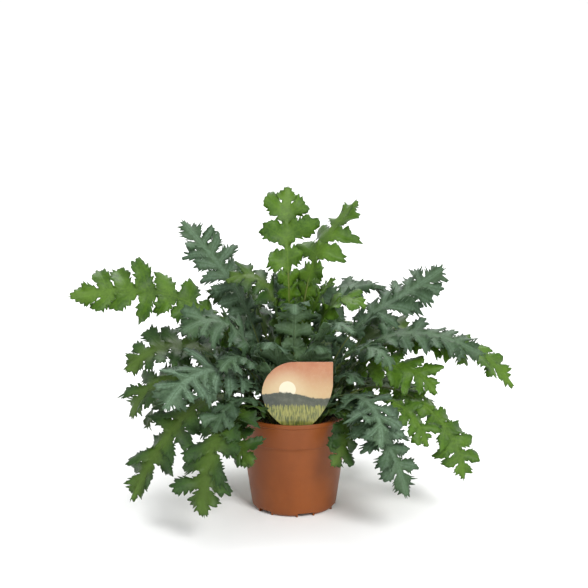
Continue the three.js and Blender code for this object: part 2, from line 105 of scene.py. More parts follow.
# %% Helper: a mesh object from points and triangles
def make_piece(name, points, triangles, material, node, flat=None):
    mesh = bpy.data.meshes.new(name)
    mesh.vertices.add(len(points))
    mesh.vertices.foreach_set("co", np.asarray(points, np.float32).ravel() * MM)
    mesh.loops.add(3 * len(triangles))
    mesh.loops.foreach_set("vertex_index", np.asarray(triangles, np.int32).ravel())
    mesh.polygons.add(len(triangles))
    mesh.polygons.foreach_set("loop_start", np.arange(0, 3 * len(triangles), 3, dtype=np.int32))
    smooth = np.ones(len(triangles), bool) if flat is None else ~flat
    mesh.polygons.foreach_set("use_smooth", smooth)
    mesh.update(calc_edges=True)
    mesh.materials.append(material)
    piece = linked(name, mesh)
    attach(piece, "root")
    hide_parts(node)
    return piece


def point_value(piece, name, values):
    made = piece.data.attributes.new(name, "FLOAT", "POINT")
    made.data.foreach_set("value", np.asarray(values, np.float32))


# %% [markdown]
# ## Nodes with less typing
#
# A material is a little network of nodes. This helper adds a node, sets its choices, and fills
# its inputs with numbers, colours or the outputs of other nodes, so that a recipe reads in the
# order in which the finish is thought out.

# %% Helper: a recipe of nodes
def colour(red, green, blue):
    """A colour given as on a screen, from 0 to 255, in Blender's linear values."""
    linear = [((c / 255 + 0.055) / 1.055) ** 2.4 if c > 10 else c / 3295 for c in (red, green, blue)]
    return (*linear, 1)


class Recipe:
    def __init__(self, tree):
        self.tree = tree

    def add(self, kind, inputs=(), **settings):
        node = self.tree.nodes.new(kind)
        for name, value in settings.items():
            setattr(node, name, value)
        self.fill(node, dict(inputs))
        return node

    def fill(self, node, inputs):
        for name, value in inputs.items():
            socket = node.inputs[name]
            if isinstance(value, bpy.types.NodeSocket):
                self.tree.links.new(value, socket)
            else:
                socket.default_value = value

    def maths(self, operation, *values):
        return self.add("ShaderNodeMath", enumerate(values), operation=operation).outputs[0]

    def ramp(self, value, low, high, start=0.0, end=1.0):
        """value from low to high becomes start to end, with soft ends."""
        inputs = {"Value": value, "From Min": low, "From Max": high, "To Min": start, "To Max": end}
        node = self.add("ShaderNodeMapRange", inputs, interpolation_type="SMOOTHSTEP")
        return node.outputs["Result"]

    def along(self, value, low, high):
        """value as a share of the way from low to high."""
        inputs = {"Value": value, "From Min": low, "From Max": high}
        return self.add("ShaderNodeMapRange", inputs).outputs["Result"]

    def mix(self, share, first, second):
        node = self.add("ShaderNodeMix", data_type="RGBA")
        self.fill(node, {0: share, 6: first, 7: second})
        return node.outputs[2]

    def noise(self, vector, scale, detail=3.0, roughness=0.55, distortion=0.0):
        inputs = {"Vector": vector, "Scale": scale, "Detail": detail,
                  "Roughness": roughness, "Distortion": distortion}
        return self.add("ShaderNodeTexNoise", inputs).outputs[0]


def new_group(name, inputs, outputs):
    """An empty shader node group, as a recipe with its input sockets and its output node."""
    tree = bpy.data.node_groups.new(name, "ShaderNodeTree")
    for socket, (kind, value) in inputs.items():
        made = tree.interface.new_socket(socket, in_out="INPUT", socket_type=kind)
        if value is not None:
            made.default_value = value
    for socket, kind in outputs.items():
        tree.interface.new_socket(socket, in_out="OUTPUT", socket_type=kind)
    recipe = Recipe(tree)
    return recipe, recipe.add("NodeGroupInput").outputs, recipe.add("NodeGroupOutput")


def new_material(name, **sockets):
    """A material with a Principled shader whose uniform values are set on its own sockets."""
    material = bpy.data.materials.new(name)
    material.use_nodes = True
    recipe = Recipe(material.node_tree)
    shader = material.node_tree.nodes["Principled BSDF"]
    recipe.fill(shader, {socket.replace("_", " "): value for socket, value in sockets.items()})
    return material, recipe, shader


# %% [markdown]
# ## Effects that several finishes share
#
# Nothing on a plant or a used pot has one even colour. Two effects come back in several
# finishes. Mottle is a soft uneven mask from two sizes of noise. Vein net draws the veins of a
# leaf from the coordinates of its lobes. Each is a node group, built once and placed in each
# material with its own values.

# %% Node group: mottle
FLOAT = "NodeSocketFloat"
VECTOR = "NodeSocketVector"

mottle, given, result = new_group(
    "Mottle",
    {"Vector": (VECTOR, None), "Scale": (FLOAT, 100.0), "Fine Share": (FLOAT, 0.3),
     "Low": (FLOAT, 0.35), "High": (FLOAT, 0.65)},
    {"Mask": FLOAT, "Fine": FLOAT},
)
coarse = mottle.noise(given["Vector"], given["Scale"], 4.0)
fine = mottle.noise(given["Vector"], mottle.maths("MULTIPLY", given["Scale"], 7.3), 5.0)
blend = mottle.add("ShaderNodeMix", {0: given["Fine Share"], 2: coarse, 3: fine}).outputs[0]
mottle.fill(result, {"Mask": mottle.ramp(blend, given["Low"], given["High"]), "Fine": fine})
MOTTLE = mottle.tree
print("Node group", MOTTLE.name, "with", len(MOTTLE.nodes), "nodes")

# %% Node group: vein net
net, given, result = new_group(
    "Vein net",
    {"Lobe": (VECTOR, None), "Spacing": (FLOAT, 0.5), "Width": (FLOAT, 0.05)},
    {"Veins": FLOAT, "Band": FLOAT, "Height": FLOAT},
)
parts = net.add("ShaderNodeSeparateXYZ", {0: given["Lobe"]}).outputs
wobble = net.maths("MULTIPLY", net.noise(given["Lobe"], 1.3), 0.5)
aside = net.maths("ABSOLUTE", parts["Y"])
main = net.ramp(aside, 0.0, net.maths("MULTIPLY", given["Width"], 1.6), 1.0, 0.0)
slant = net.maths("ADD", net.maths("SUBTRACT", parts["X"], net.maths("MULTIPLY", aside, 0.9)), wobble)
row = net.maths("MULTIPLY", given["Spacing"], 0.5)
side = net.ramp(net.maths("PINGPONG", slant, row), 0.0, given["Width"], 1.0, 0.0)
cells = net.add("ShaderNodeTexVoronoi", {"Vector": given["Lobe"], "Scale": 5.5},
                feature="DISTANCE_TO_EDGE").outputs["Distance"]
mesh_lines = net.ramp(cells, 0.0, 0.09, 0.45, 0.0)
veins = net.maths("MAXIMUM", main, net.maths("MAXIMUM", net.maths("MULTIPLY", side, 0.8), mesh_lines))
band = net.maths("MAXIMUM", net.ramp(aside, 0.0, 0.34, 1.0, 0.0), net.maths("MULTIPLY", side, 0.45))
net.fill(result, {"Veins": veins, "Band": band, "Height": veins})
VEIN_NET = net.tree
print("Node group", VEIN_NET.name, "with", len(VEIN_NET.nodes), "nodes")


def placed(recipe, tree, inputs):
    """A node group placed in a material with its own values."""
    node = recipe.add("ShaderNodeGroup", node_tree=tree)
    recipe.fill(node, inputs)
    return node.outputs


# %% [markdown]
# ## The leaf finish
#
# A frond of this fern is green flesh under a thin blue-white wax. The wax is thickest along the
# midrib and the veins, is rubbed and blotched between them, differs from frond to frond, and is
# thin on green and young ones. Green fronds are a fresher colour along the midrib, and the
# underside is paler. One recipe makes all three leaf materials, with the wax and the greens as
# its values. A photograph of a leaf pressed on the mesh would look real from one side only, so
# the finish is worked out from the frond's own coordinates: its UV map named lobe runs along and
# across each lobe in centimetres.

# %% Leaf materials
def leaf_material(name, deep, light, wax, wax_share, roughness, heart):
    material, recipe, shader = new_material(name, IOR=1.42, Specular_IOR_Level=0.34)
    lobe = recipe.add("ShaderNodeUVMap", uv_map="lobe").outputs["UV"]
    blade = recipe.add("ShaderNodeUVMap", uv_map="blade").outputs["UV"]
    place = recipe.add("ShaderNodeTexCoord").outputs["Object"]
    value = {key: recipe.add("ShaderNodeAttribute", attribute_name=key).outputs["Fac"]
             for key in ("stalk", "under", "margin", "tone", "wax")}
    blotch = placed(recipe, MOTTLE, {"Vector": place, "Scale": 55.0, "Fine Share": 0.35,
                                     "Low": 0.36, "High": 0.66})
    speck = placed(recipe, MOTTLE, {"Vector": place, "Scale": 320.0, "Fine Share": 0.5,
                                    "Low": 0.4, "High": 0.62})
    veins = placed(recipe, VEIN_NET, {"Lobe": lobe, "Spacing": 0.55, "Width": 0.05})

    flesh = recipe.mix(blotch["Mask"], deep, light)
    flesh = recipe.mix(recipe.maths("MULTIPLY", speck["Mask"], 0.22), flesh, deep)
    flesh = recipe.mix(recipe.maths("MULTIPLY", value["tone"], 0.5), flesh, light)
    across = recipe.maths("ABSOLUTE", recipe.add("ShaderNodeSeparateXYZ", {0: blade}).outputs["Y"])
    ribs = recipe.maths("MAXIMUM", recipe.ramp(across, 0.0, 0.16, 1.0, 0.0), veins["Band"])
    waxed = recipe.maths("MULTIPLY", recipe.ramp(ribs, 0.0, 1.0, 0.42, 1.08),
                         recipe.ramp(blotch["Fine"], 0.25, 0.7, 0.55, 1.0))
    waxed = recipe.maths("MULTIPLY", waxed, recipe.maths("MULTIPLY", value["wax"], wax_share))
    skin = recipe.mix(waxed, flesh, wax)
    skin = recipe.mix(recipe.maths("MULTIPLY", veins["Veins"], 0.5), skin, light)
    fresh = recipe.maths("MULTIPLY", recipe.ramp(across, 0.0, 0.55, 1.0, 0.0), heart)
    skin = recipe.mix(fresh, skin, colour(118, 142, 34))
    rim = recipe.ramp(value["margin"], 0.0, 0.35, 0.3, 0.0)
    skin = recipe.mix(rim, skin, deep)
    skin = recipe.mix(recipe.maths("MULTIPLY", value["under"], 0.3), skin, colour(80, 104, 58))
    stalk = recipe.mix(blotch["Mask"], colour(72, 88, 34), colour(98, 100, 46))
    skin = recipe.mix(recipe.maths("MULTIPLY", value["stalk"], 0.75), skin, stalk)

    gloss = recipe.maths("ADD", roughness, recipe.maths("MULTIPLY", waxed, 0.2))
    gloss = recipe.maths("ADD", gloss, recipe.maths("MULTIPLY", speck["Mask"], 0.08))
    relief = recipe.maths("ADD", recipe.maths("MULTIPLY", veins["Height"], 0.7), speck["Fine"])
    bump = recipe.add("ShaderNodeBump", {"Height": relief, "Strength": 0.35, "Distance": 0.0004})
    recipe.fill(shader, {"Base Color": skin, "Roughness": gloss, "Normal": bump.outputs[0]})
    return material


LEAVES = {
    "leaf_blue": leaf_material("leaf_blue", colour(15, 36, 15), colour(42, 68, 30),
                               colour(108, 133, 110), 0.5, 0.46, 0.02),
    "leaf_green": leaf_material("leaf_green", colour(17, 40, 10), colour(45, 75, 21),
                                colour(84, 112, 68), 0.3, 0.44, 0.2),
    "leaf_young": leaf_material("leaf_young", colour(30, 62, 6), colour(72, 105, 20),
                                colour(92, 120, 50), 0.2, 0.42, 0.08),
}
print("Leaf materials:", ", ".join(LEAVES))

# %% [markdown]
# ## Where each frond runs
#
# Fronds rise from the soil, arch over and fall, the low ones almost at once and the tall ones
# hardly at all. A frond's midrib could be drawn by hand as a curve, but so many curves are hard
# to keep tidy. Here it is one cubic curve that leaves the soil at one angle and arrives at its tip
# at another, so a short row of numbers says everything: name, azimuth of the tip, its distance
# from the axis and its height, the angles of rise and fall, sideways sweep, share of bare
# stalk, half width of the blade, pairs of lobes, roll, and how blue the frond is.

# %% The fronds, one row each
SOIL_TOP = 96
FEET_NEAR, FEET_FAR, LOW_RISE = 5, 42, 50
LAUNCH, LANDING, LEAST_CHORD = 0.62, 0.42, 90
SPINE_STEPS = 160

FROND_ROWS = """
low_front_left 235 156 30 60 82 9 0.2 40 6 -8 0.6
low_left 203 186 27 57 64 -1 0.26 33 7 -34 0.35
low_left_side 181 176 96 62 80 -5 0.28 34 6 -45 0.6
low_back_left 157 182 62 58 76 -6 0.3 36 5 -20 0.7
low_back_1 128 184 48 58 78 4 0.3 36 4 -10 0.5
low_back_2 98 180 58 58 76 -4 0.3 36 5 0 0.8
low_back_3 68 186 46 58 78 4 0.3 36 4 0 0.6
low_back_right 38 180 62 58 76 -4 0.3 36 5 10 0.7
low_right_side 12 176 62 58 78 4 0.3 32 5 20 0.4
low_right 337 152 82 60 80 4 0.5 22 5 30 0.3
low_front_right 317 157 43 60 74 -1 0.24 30 6 18 0.8
low_front_rim 295 88 68 66 86 -38 0.34 22 4 0 0.5
low_front_inner 246 100 72 62 84 36 0.28 26 4 0 0.5
mid_front_left 215 160 130 70 56 6 0.28 38 7 -42 1
front_left_mid 228 122 106 64 62 2 0.38 24 4 -8 0.85
mid_left 184 182 151 62 44 8 0.35 35 6 -45 0.6
mid_back_left 149 188 150 68 50 -4 0.38 34 5 -16 0.8
mid_back_1 126 190 139 67 54 -4 0.34 34 4 -10 0.4
mid_back_2 98 188 152 68 50 -4 0.32 36 5 0 0.9
mid_back_3 67 190 142 67 54 4 0.32 36 4 0 0.6
mid_back_right 34 192 146 67 54 4 0.32 36 5 20 0.5
right_reaching 2 241 128 66 54 0 0.38 30 7 40 0.3
right_hanging 344 186 42 60 88 -6 0.54 28 5 55 0.2
mid_front_right 308 140 95 65 74 -15 0.36 30 6 10 1
mid_right_down 329 118 164 78 72 -4 0.42 25 6 10 0.9
mid_right_low 347 156 132 66 60 2 0.36 30 5 40 0.15
left_long 179 243 230 68 6 8 0.42 34 6 -75 0.1
upper_left 154 138 306 74 -46 0 0.4 32 8 -30 0.9
upper_right 14 171 257 72 -36 0 0.42 32 7 40 0.95
right_shoulder 354 205 170 69 30 0 0.42 30 7 35 0.85
left_shoulder 205 130 202 74 34 0 0.38 33 5 -38 0.9
back_shoulder_1 130 150 214 75 26 0 0.42 34 4 -10 0.6
back_shoulder_2 89 150 228 77 24 0 0.42 34 5 0 0.3
back_shoulder_3 49 154 219 77 26 0 0.43 34 4 10 0.8
front_left_high 219 100 164 73 52 -3 0.38 26 5 -20 1
front_right_high 327 88 146 69 48 3 0.42 21 3 0 0.8
rim_right 320 92 92 56 72 6 0.36 20 3 6 0.7
core_right 315 88 203 80 36 0 0.48 19 4 10 1
above_tag_left 243 68 186 72 34 0 0.36 25 3 0 1
above_tag_right 299 64 182 72 34 0 0.42 24 3 0 0.9
crown_left 186 74 250 84 20 0 0.48 28 5 -35 0.4
crown_front 271 44 220 82 40 0 0.48 23 4 0 0.9
crown_right 349 80 224 82 26 0 0.46 27 5 24 0.2
crown_light 5 44 252 85 -50 0 0.56 23 5 10 0.1
small_dark 104 52 252 83 -55 -20 0.5 22 5 0 0.9
top_left 100 36 346 88 -70 -40 0.62 34 3 0 0.1
top_right 42 94 328 86 -42 -14 0.56 34 4 0 0.1
"""


def scatter(seed, index):
    """A repeatable number from 0 to 1 for each pair of whole numbers."""
    wave = math.sin(seed * 127.1 + index * 311.7) * 43758.5453
    return wave - math.floor(wave)


def spread(seed, index, low, high):
    return low + (high - low) * scatter(seed, index)


def cubic(p, t):
    u = 1 - t
    return u ** 3 * p[0] + 3 * u * u * t * p[1] + 3 * u * t * t * p[2] + t ** 3 * p[3]


def unit(vectors):
    return vectors / np.linalg.norm(vectors, axis=1, keepdims=True)


class Frond:
    """A frond's midrib, with the directions ahead, across and up at each place along it."""

    def __init__(self, row, seed):
        name, *numbers = row.split()
        azimuth, reach, height, rise, fall, sweep, bare, half, lobes, roll, bloom = map(float, numbers)
        self.name, self.seed, self.half, self.lobes, self.bloom = name, seed, half, int(lobes), bloom
        start = max(FEET_NEAR, FEET_FAR - (rise - LOW_RISE))
        chord = math.hypot(reach - start, height - SOIL_TOP)
        launch, landing = LAUNCH * max(chord, LEAST_CHORD), LANDING * chord
        rise, fall = math.radians(rise), math.radians(fall)
        t = np.linspace(0, 1, SPINE_STEPS + 1)
        radius = cubic([start, start + launch * math.cos(rise),
                        reach - landing * math.cos(fall), reach], t)
        level = cubic([SOIL_TOP, SOIL_TOP + launch * math.sin(rise),
                       height + landing * math.sin(fall), height], t)
        turn = np.radians(azimuth - sweep + sweep * t * t)
        self.place = np.c_[radius * np.cos(turn), radius * np.sin(turn), level]
        self.ahead = unit(np.gradient(self.place, axis=0))
        side = np.c_[-np.sin(turn), np.cos(turn), 0 * t]
        side = unit(side - (side * self.ahead).sum(1, keepdims=True) * self.ahead)
        top = np.cross(self.ahead, side)
        rolled = np.radians(roll) * t[:, None]
        self.across = side * np.cos(rolled) + top * np.sin(rolled)
        self.up = top * np.cos(rolled) - side * np.sin(rolled)
        steps = np.linalg.norm(np.diff(self.place, axis=0), axis=1)
        self.along = np.r_[0, np.cumsum(steps)]
        self.length = self.along[-1]
        self.stalk = bare * self.length
        self.blade = self.length - self.stalk

    def at(self, a, b, h):
        """Points at distances a along the midrib, b across it and h above it."""
        def mixed(values):
            return np.stack([np.interp(a, self.along, values[:, k]) for k in range(3)], 1)
        before = np.minimum(a, 0)[:, None] * self.ahead[0]
        beyond = np.maximum(a - self.length, 0)[:, None] * self.ahead[-1]
        sideways = unit(mixed(self.across)) * b[:, None]
        return mixed(self.place) + before + beyond + sideways + unit(mixed(self.up)) * h[:, None]


fronds = [Frond(row, seed + 1) for seed, row in enumerate(FROND_ROWS.split("\n")[1:-1])]
print(len(fronds), "fronds, the longest", round(max(f.length for f in fronds)), "mm along its midrib")

# %% [markdown]
# ## The shape of a blade
#
# A blade is a narrow wing along the midrib with leaning lobes on both sides and one at the end.
# Smaller ones run on down the upper stalk, and young fronds have the more pointed lobes. Each
# lobe ends in fingers and fine teeth. The outline could be modelled point by point, but each
# real lobe differs a little, so a rule draws it: a smooth hull for each lobe, with sinuses cut
# towards the lobe's own axis. Seeded numbers vary length, curl, twist and the fingers.

# %% Lobes of a blade
LOBED_SHARE = 0.78
WING_SHARE = 0.2
STAGGER = 0.12
LEAN = (70, 46)
LENGTHS = (0.84, 1.14)
LOBE_WIDTH = 0.42
CURL = (-0.08, 0.2)
TWIST = (0.05, 0.32)
TILT = (-0.28, 0.38)
SWING = (-0.24, 0.24)
FIRST_LOBE = 0.85
FIRST_WING = 0.35
LOW_SHARE, LOW_REACH, LOW_PITCH, LOW_WING = 0.62, 60, 14, 2
LOW_LENGTHS = (0.36, 0.64)
SWELL_FROM, SWELL_OVER, SWELL_POWER = 0.13, 0.78, 0.75
END_HALF = 0.56
LOBE_HULL = [(0.4, -0.88), (0.74, -1), (0.93, -0.62), (1, 0), (0.94, 0.6), (0.73, 1), (0.42, 0.84)]
END_HULL = [(0.25, 0.76), (0.5, 1), (0.76, 0.66), (0.93, 0.26), (1, 0)]
YOUNG_POINT = 0.42


class Lobe:
    """One lobe: where its axis leaves the midrib, how it leans, and its size."""

    def __init__(self, frond, number, hand, centre, lean, length, half):
        self.centre, self.cos, self.sin = centre, math.cos(lean), math.sin(lean)
        self.length, self.half, self.hand = length, half, hand
        draw = number * 7 + max(hand, 0)
        self.curl = spread(frond.seed, 200 + draw, *CURL)
        self.twist = spread(frond.seed, 400 + draw, *TWIST)
        self.phase = spread(frond.seed, 800 + draw, 0, 1)
        self.fold = spread(frond.seed, 900 + draw, 0.7, 1.3)
        self.tilt = spread(frond.seed, 1000 + draw, *TILT)
        self.swing = spread(frond.seed, 1100 + draw, *SWING) if hand >= 0 else 0
        self.key = frond.seed * 31 + draw

    def plane(self, x, y):
        """Blade coordinates of a share x along the lobe and y across it."""
        out, wide = x * self.length, y * self.half
        return np.array([self.centre + out * self.cos + wide * self.sin,
                         out * self.sin - wide * self.cos]).T

    def own(self, a, b):
        """The shares along and across the lobe of places in the blade."""
        da = a - self.centre
        return ((da * self.cos + b * self.sin) / self.length,
                (da * self.sin - b * self.cos) / self.half)


def hull_of(frond, corners):
    """A hull's corners, drawn in towards the lobe's tip on young fronds, whose lobes are pointed."""
    young = YOUNG_POINT * (1 - frond.bloom)
    return [(x, y * (1 - young * max(0, x - 0.4) / 0.6)) for x, y in corners]


def envelope(frond, share):
    return frond.half * math.sin(math.pi * (SWELL_FROM + SWELL_OVER * share)) ** SWELL_POWER


def lean_at(share):
    return math.radians(LEAN[0] + (LEAN[1] - LEAN[0]) * share)


def low_lobes(frond, hand):
    """The small lobes that run down the stalk from the blade, and the notches between them."""
    reach = min(LOW_SHARE * frond.stalk, LOW_REACH)
    count = max(2, round(reach / LOW_PITCH))
    pitch, lean = reach / count, lean_at(0)
    lobes, notches = [], []
    for i in range(count):
        grown = LOW_LENGTHS[0] + (LOW_LENGTHS[1] - LOW_LENGTHS[0]) * i / count
        length = frond.half * grown * spread(frond.seed, 600 + i * 7 + hand, *LENGTHS)
        notches.append((i * pitch - reach, LOW_WING * (i > 0)))
        lobes.append(Lobe(frond, 40 + i, hand, (i + 0.5) * pitch - reach, lean, length,
                          LOBE_WIDTH * pitch * math.sin(lean)))
    return lobes, notches


def side_lobes(frond, hand):
    """The lobes on one side (hand 0 is the left) and the notches between them."""
    pitch = frond.blade * LOBED_SHARE / frond.lobes
    shift = pitch * STAGGER * hand
    lobes, notches = low_lobes(frond, hand)
    for i in range(frond.lobes + 1):
        border = i * pitch + (0 if i in (0, frond.lobes) else shift)
        wing = WING_SHARE * envelope(frond, border / frond.blade) * (FIRST_WING if i == 0 else 1)
        notch = 0 if i == 0 else border + wing / math.tan(lean_at(border / frond.blade))
        notches.append((notch, wing))
        if i == frond.lobes:
            break
        centre = (i + 0.5) * pitch + shift * (0.5 if i == frond.lobes - 1 else 1)
        lean = lean_at(centre / frond.blade)
        draw = spread(frond.seed, 10 + i * 7 + hand, *LENGTHS) * (FIRST_LOBE if i == 0 else 1)
        length = envelope(frond, centre / frond.blade) * draw
        lobes.append(Lobe(frond, i, hand, centre, lean, length, LOBE_WIDTH * pitch * math.sin(lean)))
    return lobes, notches


# %% Outline with fingers
OUTLINE_STEP = 0.95
TEETH_PITCH, TEETH_DEPTH = 3.1, 0.05
FINGER_PITCH_YOUNG, FINGER_PITCH_BLUE = 8.6, 5.4
FINGER_DEPTH_YOUNG, FINGER_DEPTH_MORE = 0.36, 0.19
TIP_LEAST, TIP_MORE = 0.72, 0.75
UNEVEN_LEAST, UNEVEN_MORE = 0.5, 0.6
WARP_SLOW, WARP_FAST = 0.35, 0.2


def smooth_line(corners, step):
    """A soft curve through corners, sampled at even steps."""
    p = np.array(corners)
    p = np.r_[[2 * p[0] - p[1]], p, [2 * p[-1] - p[-2]]]
    t = np.linspace(0, 1, 12, endpoint=False)[:, None]
    spans = [
        0.5 * (2 * p1 + (p2 - p0) * t + (2 * p0 - 5 * p1 + 4 * p2 - p3) * t ** 2
               + (3 * p1 - p0 - 3 * p2 + p3) * t ** 3)
        for p0, p1, p2, p3 in zip(p, p[1:], p[2:], p[3:])
    ]
    line = np.r_[np.concatenate(spans), p[-2:-1]]
    along = np.r_[0, np.cumsum(np.linalg.norm(np.diff(line, axis=0), axis=1))]
    even = np.linspace(0, along[-1], max(4, round(along[-1] / step)) + 1)
    return np.c_[np.interp(even, along, line[:, 0]), np.interp(even, along, line[:, 1])], along[-1]


def fingered(line, perimeter, lobe, bloom, last=False):
    """Cuts sinuses into a lobe's hull, towards the lobe's axis."""
    s = np.linspace(0, 1, len(line))
    pitch = FINGER_PITCH_YOUNG + (FINGER_PITCH_BLUE - FINGER_PITCH_YOUNG) * bloom
    count = max(3, round(perimeter / pitch))
    depth = FINGER_DEPTH_YOUNG + FINGER_DEPTH_MORE * bloom
    round_tips = TIP_LEAST + TIP_MORE * lobe.phase
    warp = (WARP_SLOW * np.sin(2 * math.pi * (s * 2 + lobe.phase))
            + WARP_FAST * np.sin(2 * math.pi * (s * 5 + lobe.fold)))
    turn = count * s + warp * np.sin(math.pi * s)
    wave = np.abs(2 * (turn % 1) - 1) ** round_tips
    ends = np.minimum(1, 6 * s) * (1 if last else np.minimum(1, 6 * (1 - s)))
    uneven = UNEVEN_LEAST + UNEVEN_MORE * np.array([scatter(lobe.key, int(n)) for n in turn])
    teeth = TEETH_DEPTH * (0.5 + bloom) * np.sin(2 * math.pi * (s * perimeter / TEETH_PITCH + lobe.fold))
    x, _ = lobe.own(line[:, 0], line[:, 1])
    axis = lobe.plane(np.clip(0.7 * x - 0.1, 0.06, 0.6), 0 * x)
    return line + (axis - line) * (ends * (depth * wave * uneven + teeth))[:, None]


def side_outline(frond, hand, end_lobe):
    """The blade's edge on one side, from its base to its tip, as (a, b) with b above zero."""
    lobes, notches = side_lobes(frond, hand)
    runs = []
    for lobe, rear, front in zip(lobes, notches, notches[1:]):
        hull = [rear, *(lobe.plane(x, y) for x, y in hull_of(frond, LOBE_HULL)), front]
        line, perimeter = smooth_line(hull, OUTLINE_STEP)
        runs.append(fingered(line, perimeter, lobe, frond.bloom)[:-1])
    hull = [notches[-1], *(end_lobe.plane(x, -y) for x, y in hull_of(frond, END_HULL))]
    line, perimeter = smooth_line(hull, OUTLINE_STEP)
    runs.append(fingered(line, perimeter, end_lobe, frond.bloom, last=True)[:-1])
    return lobes, np.concatenate(runs)


# %% [markdown]
# ## Folds and frills
#
# A flat outline alone looks like cut paper. On the real frond each lobe curls, turns a little so
# that it overlaps its neighbour like a shingle, and is pleated towards its fingers. These are
# smooth heights over the flat blade. Cloth simulation could crumple a leaf too, but a rule gives
# the same frond every time and keeps it where the frame has it.

# %% Height of the blade
ARCH = 0.16
HEEL_LIFT = 0.1
WIDEN, END_WIDEN = 0.85, 0.45
END_CURL = 0.12
PLEAT, PLEAT_FREQUENCY = 0.23, 11.2
HOLD_ACROSS = 0.22
GROWN_FROM, GROWN_BY = 0.1, 0.55


def soft(value, low, high):
    t = np.clip((value - low) / (high - low), 0, 1)
    return t * t * (3 - 2 * t)


def shaped(frond, lobes, end_lobe, a, b):
    """Moves flat places of one side (b above zero) into their folds: new a, b, height and owner."""
    shift, height, total = np.zeros((len(a), 2)), np.zeros(len(a)), np.zeros(len(a)) + 1e-9
    best, owner = np.full(len(a), -1.0), np.zeros(len(a), int)
    for number, lobe in enumerate([*lobes, end_lobe]):
        x, y = lobe.own(a, b)
        weight = np.exp(-np.minimum(y * y, 60) / HOLD_ACROSS) * (soft(x, -0.25, 0.02) + 1e-12)
        grown = soft(x, GROWN_FROM, GROWN_BY)
        out, wide = x * lobe.length, y * lobe.half
        angle = np.arctan2(wide, np.maximum(out, 0) + 0.2 * lobe.length)
        far = np.minimum(np.hypot(out, wide) / lobe.length, 1.2)
        pleat = PLEAT * lobe.fold * lobe.length * far ** 2 * np.sin(
            PLEAT_FREQUENCY * angle + 2 * math.pi * lobe.phase)
        curl = lobe.curl if lobe.hand >= 0 else END_CURL
        lift = (HEEL_LIFT * lobe.length * y * y + lobe.twist * wide * (lobe.hand >= 0)) * grown
        lift += pleat * soft(x, 0.05, 0.6) - curl * lobe.length * np.clip(x, 0, 2) ** 2
        lift += lobe.tilt * out * grown * (lobe.hand >= 0)
        widen = (WIDEN * wide + lobe.swing * out) * grown
        if lobe.hand < 0:
            widen = widen * (END_WIDEN * frond.bloom)
        height += weight * lift
        shift += (weight * widen)[:, None] * np.array([lobe.sin, -lobe.cos])
        total += weight
        better = weight > best
        best, owner = np.where(better, weight, best), np.where(better, number, owner)
    wing = WING_SHARE * frond.half
    free = soft(b, 0, wing)
    arch = -ARCH * frond.half * (b / frond.half) ** 2
    return (a + free * shift[:, 0] / total, b + free * shift[:, 1] / total,
            arch + free * height / total, owner)


# %% [markdown]
# ## Skinning a blade
#
# The outline is filled with an even scatter of points and triangulated once in the flat plane,
# by the constrained triangulation that comes with Blender. A grid stretched between outline and
# midrib would be simpler, but it bunches up in the narrow sinuses. The flat sheet is then
# folded, and given a top, an underside and an edge, so each frond is a closed thin body. A
# slim tapering tube makes the stalk and runs on under the blade as its midrib.

# %% Helper: triangles of the flat blade
GRID_STEP = 1.9
EDGE_ROOM = 0.62 * GRID_STEP


def inside(points, outline):
    """True for each point inside the closed outline."""
    x, y = points[:, :1], points[:, 1:]
    x1, y1 = outline.T
    x2, y2 = np.roll(outline, -1, axis=0).T
    crosses = (y1 > y) != (y2 > y)
    rise = np.where(y1 == y2, 1, y2 - y1)
    return (crosses & (x < (x2 - x1) * (y - y1) / rise + x1)).sum(1) % 2 == 1


def nearest(points, outline):
    """Distance of each point from the outline's points."""
    far = np.full(len(points), 1e9)
    for part in np.array_split(outline, max(1, len(outline) // 200)):
        gaps = points[:, None, :] - part[None]
        far = np.minimum(far, (gaps ** 2).sum(2).min(1))
    return np.sqrt(far)


def flat_blade(outline):
    """Points, triangles and distance from the edge for a blade's closed outline."""
    low, high = outline.min(0), outline.max(0)
    row = GRID_STEP * math.sqrt(3) / 2
    rows = np.arange(math.floor(low[1] / row), math.ceil(high[1] / row) + 1)
    columns = np.arange(low[0], high[0], GRID_STEP)
    grid = np.array([(x + (n % 2) * GRID_STEP / 2, n * row) for n in rows for x in columns])
    grid = grid[inside(grid, outline)]
    away = nearest(grid, outline)
    kept = away > EDGE_ROOM
    grid, away = grid[kept], away[kept]
    points = [tuple(map(float, p)) for p in np.r_[outline, grid]]
    found = delaunay_2d_cdt(points, [], [list(range(len(outline)))], 1, 1e-5)
    flat = np.array([tuple(p) for p in found[0]])
    triangles = np.array([face for face in found[2] if len(face) == 3])
    if len(flat) != len(points):
        away = nearest(flat, outline)
        return flat, triangles, away
    return flat, triangles, np.r_[np.zeros(len(outline)), away]


def rim_edges(triangles):
    """The directed edges that only one triangle uses."""
    edges = np.concatenate([triangles[:, [0, 1]], triangles[:, [1, 2]], triangles[:, [2, 0]]])
    size = triangles.max() + 1
    keys = edges[:, 0] * size + edges[:, 1]
    back = edges[:, 1] * size + edges[:, 0]
    return edges[~np.isin(keys, back)]


# %% Helper: a tapering tube along the midrib
RIB_SIDES = 8
RIB_STEP = 3.0
STALK_RADIUS = 1.3
STALK_SUNK = 12
RIB_END = 0.3
RIB_SHARE = 0.985


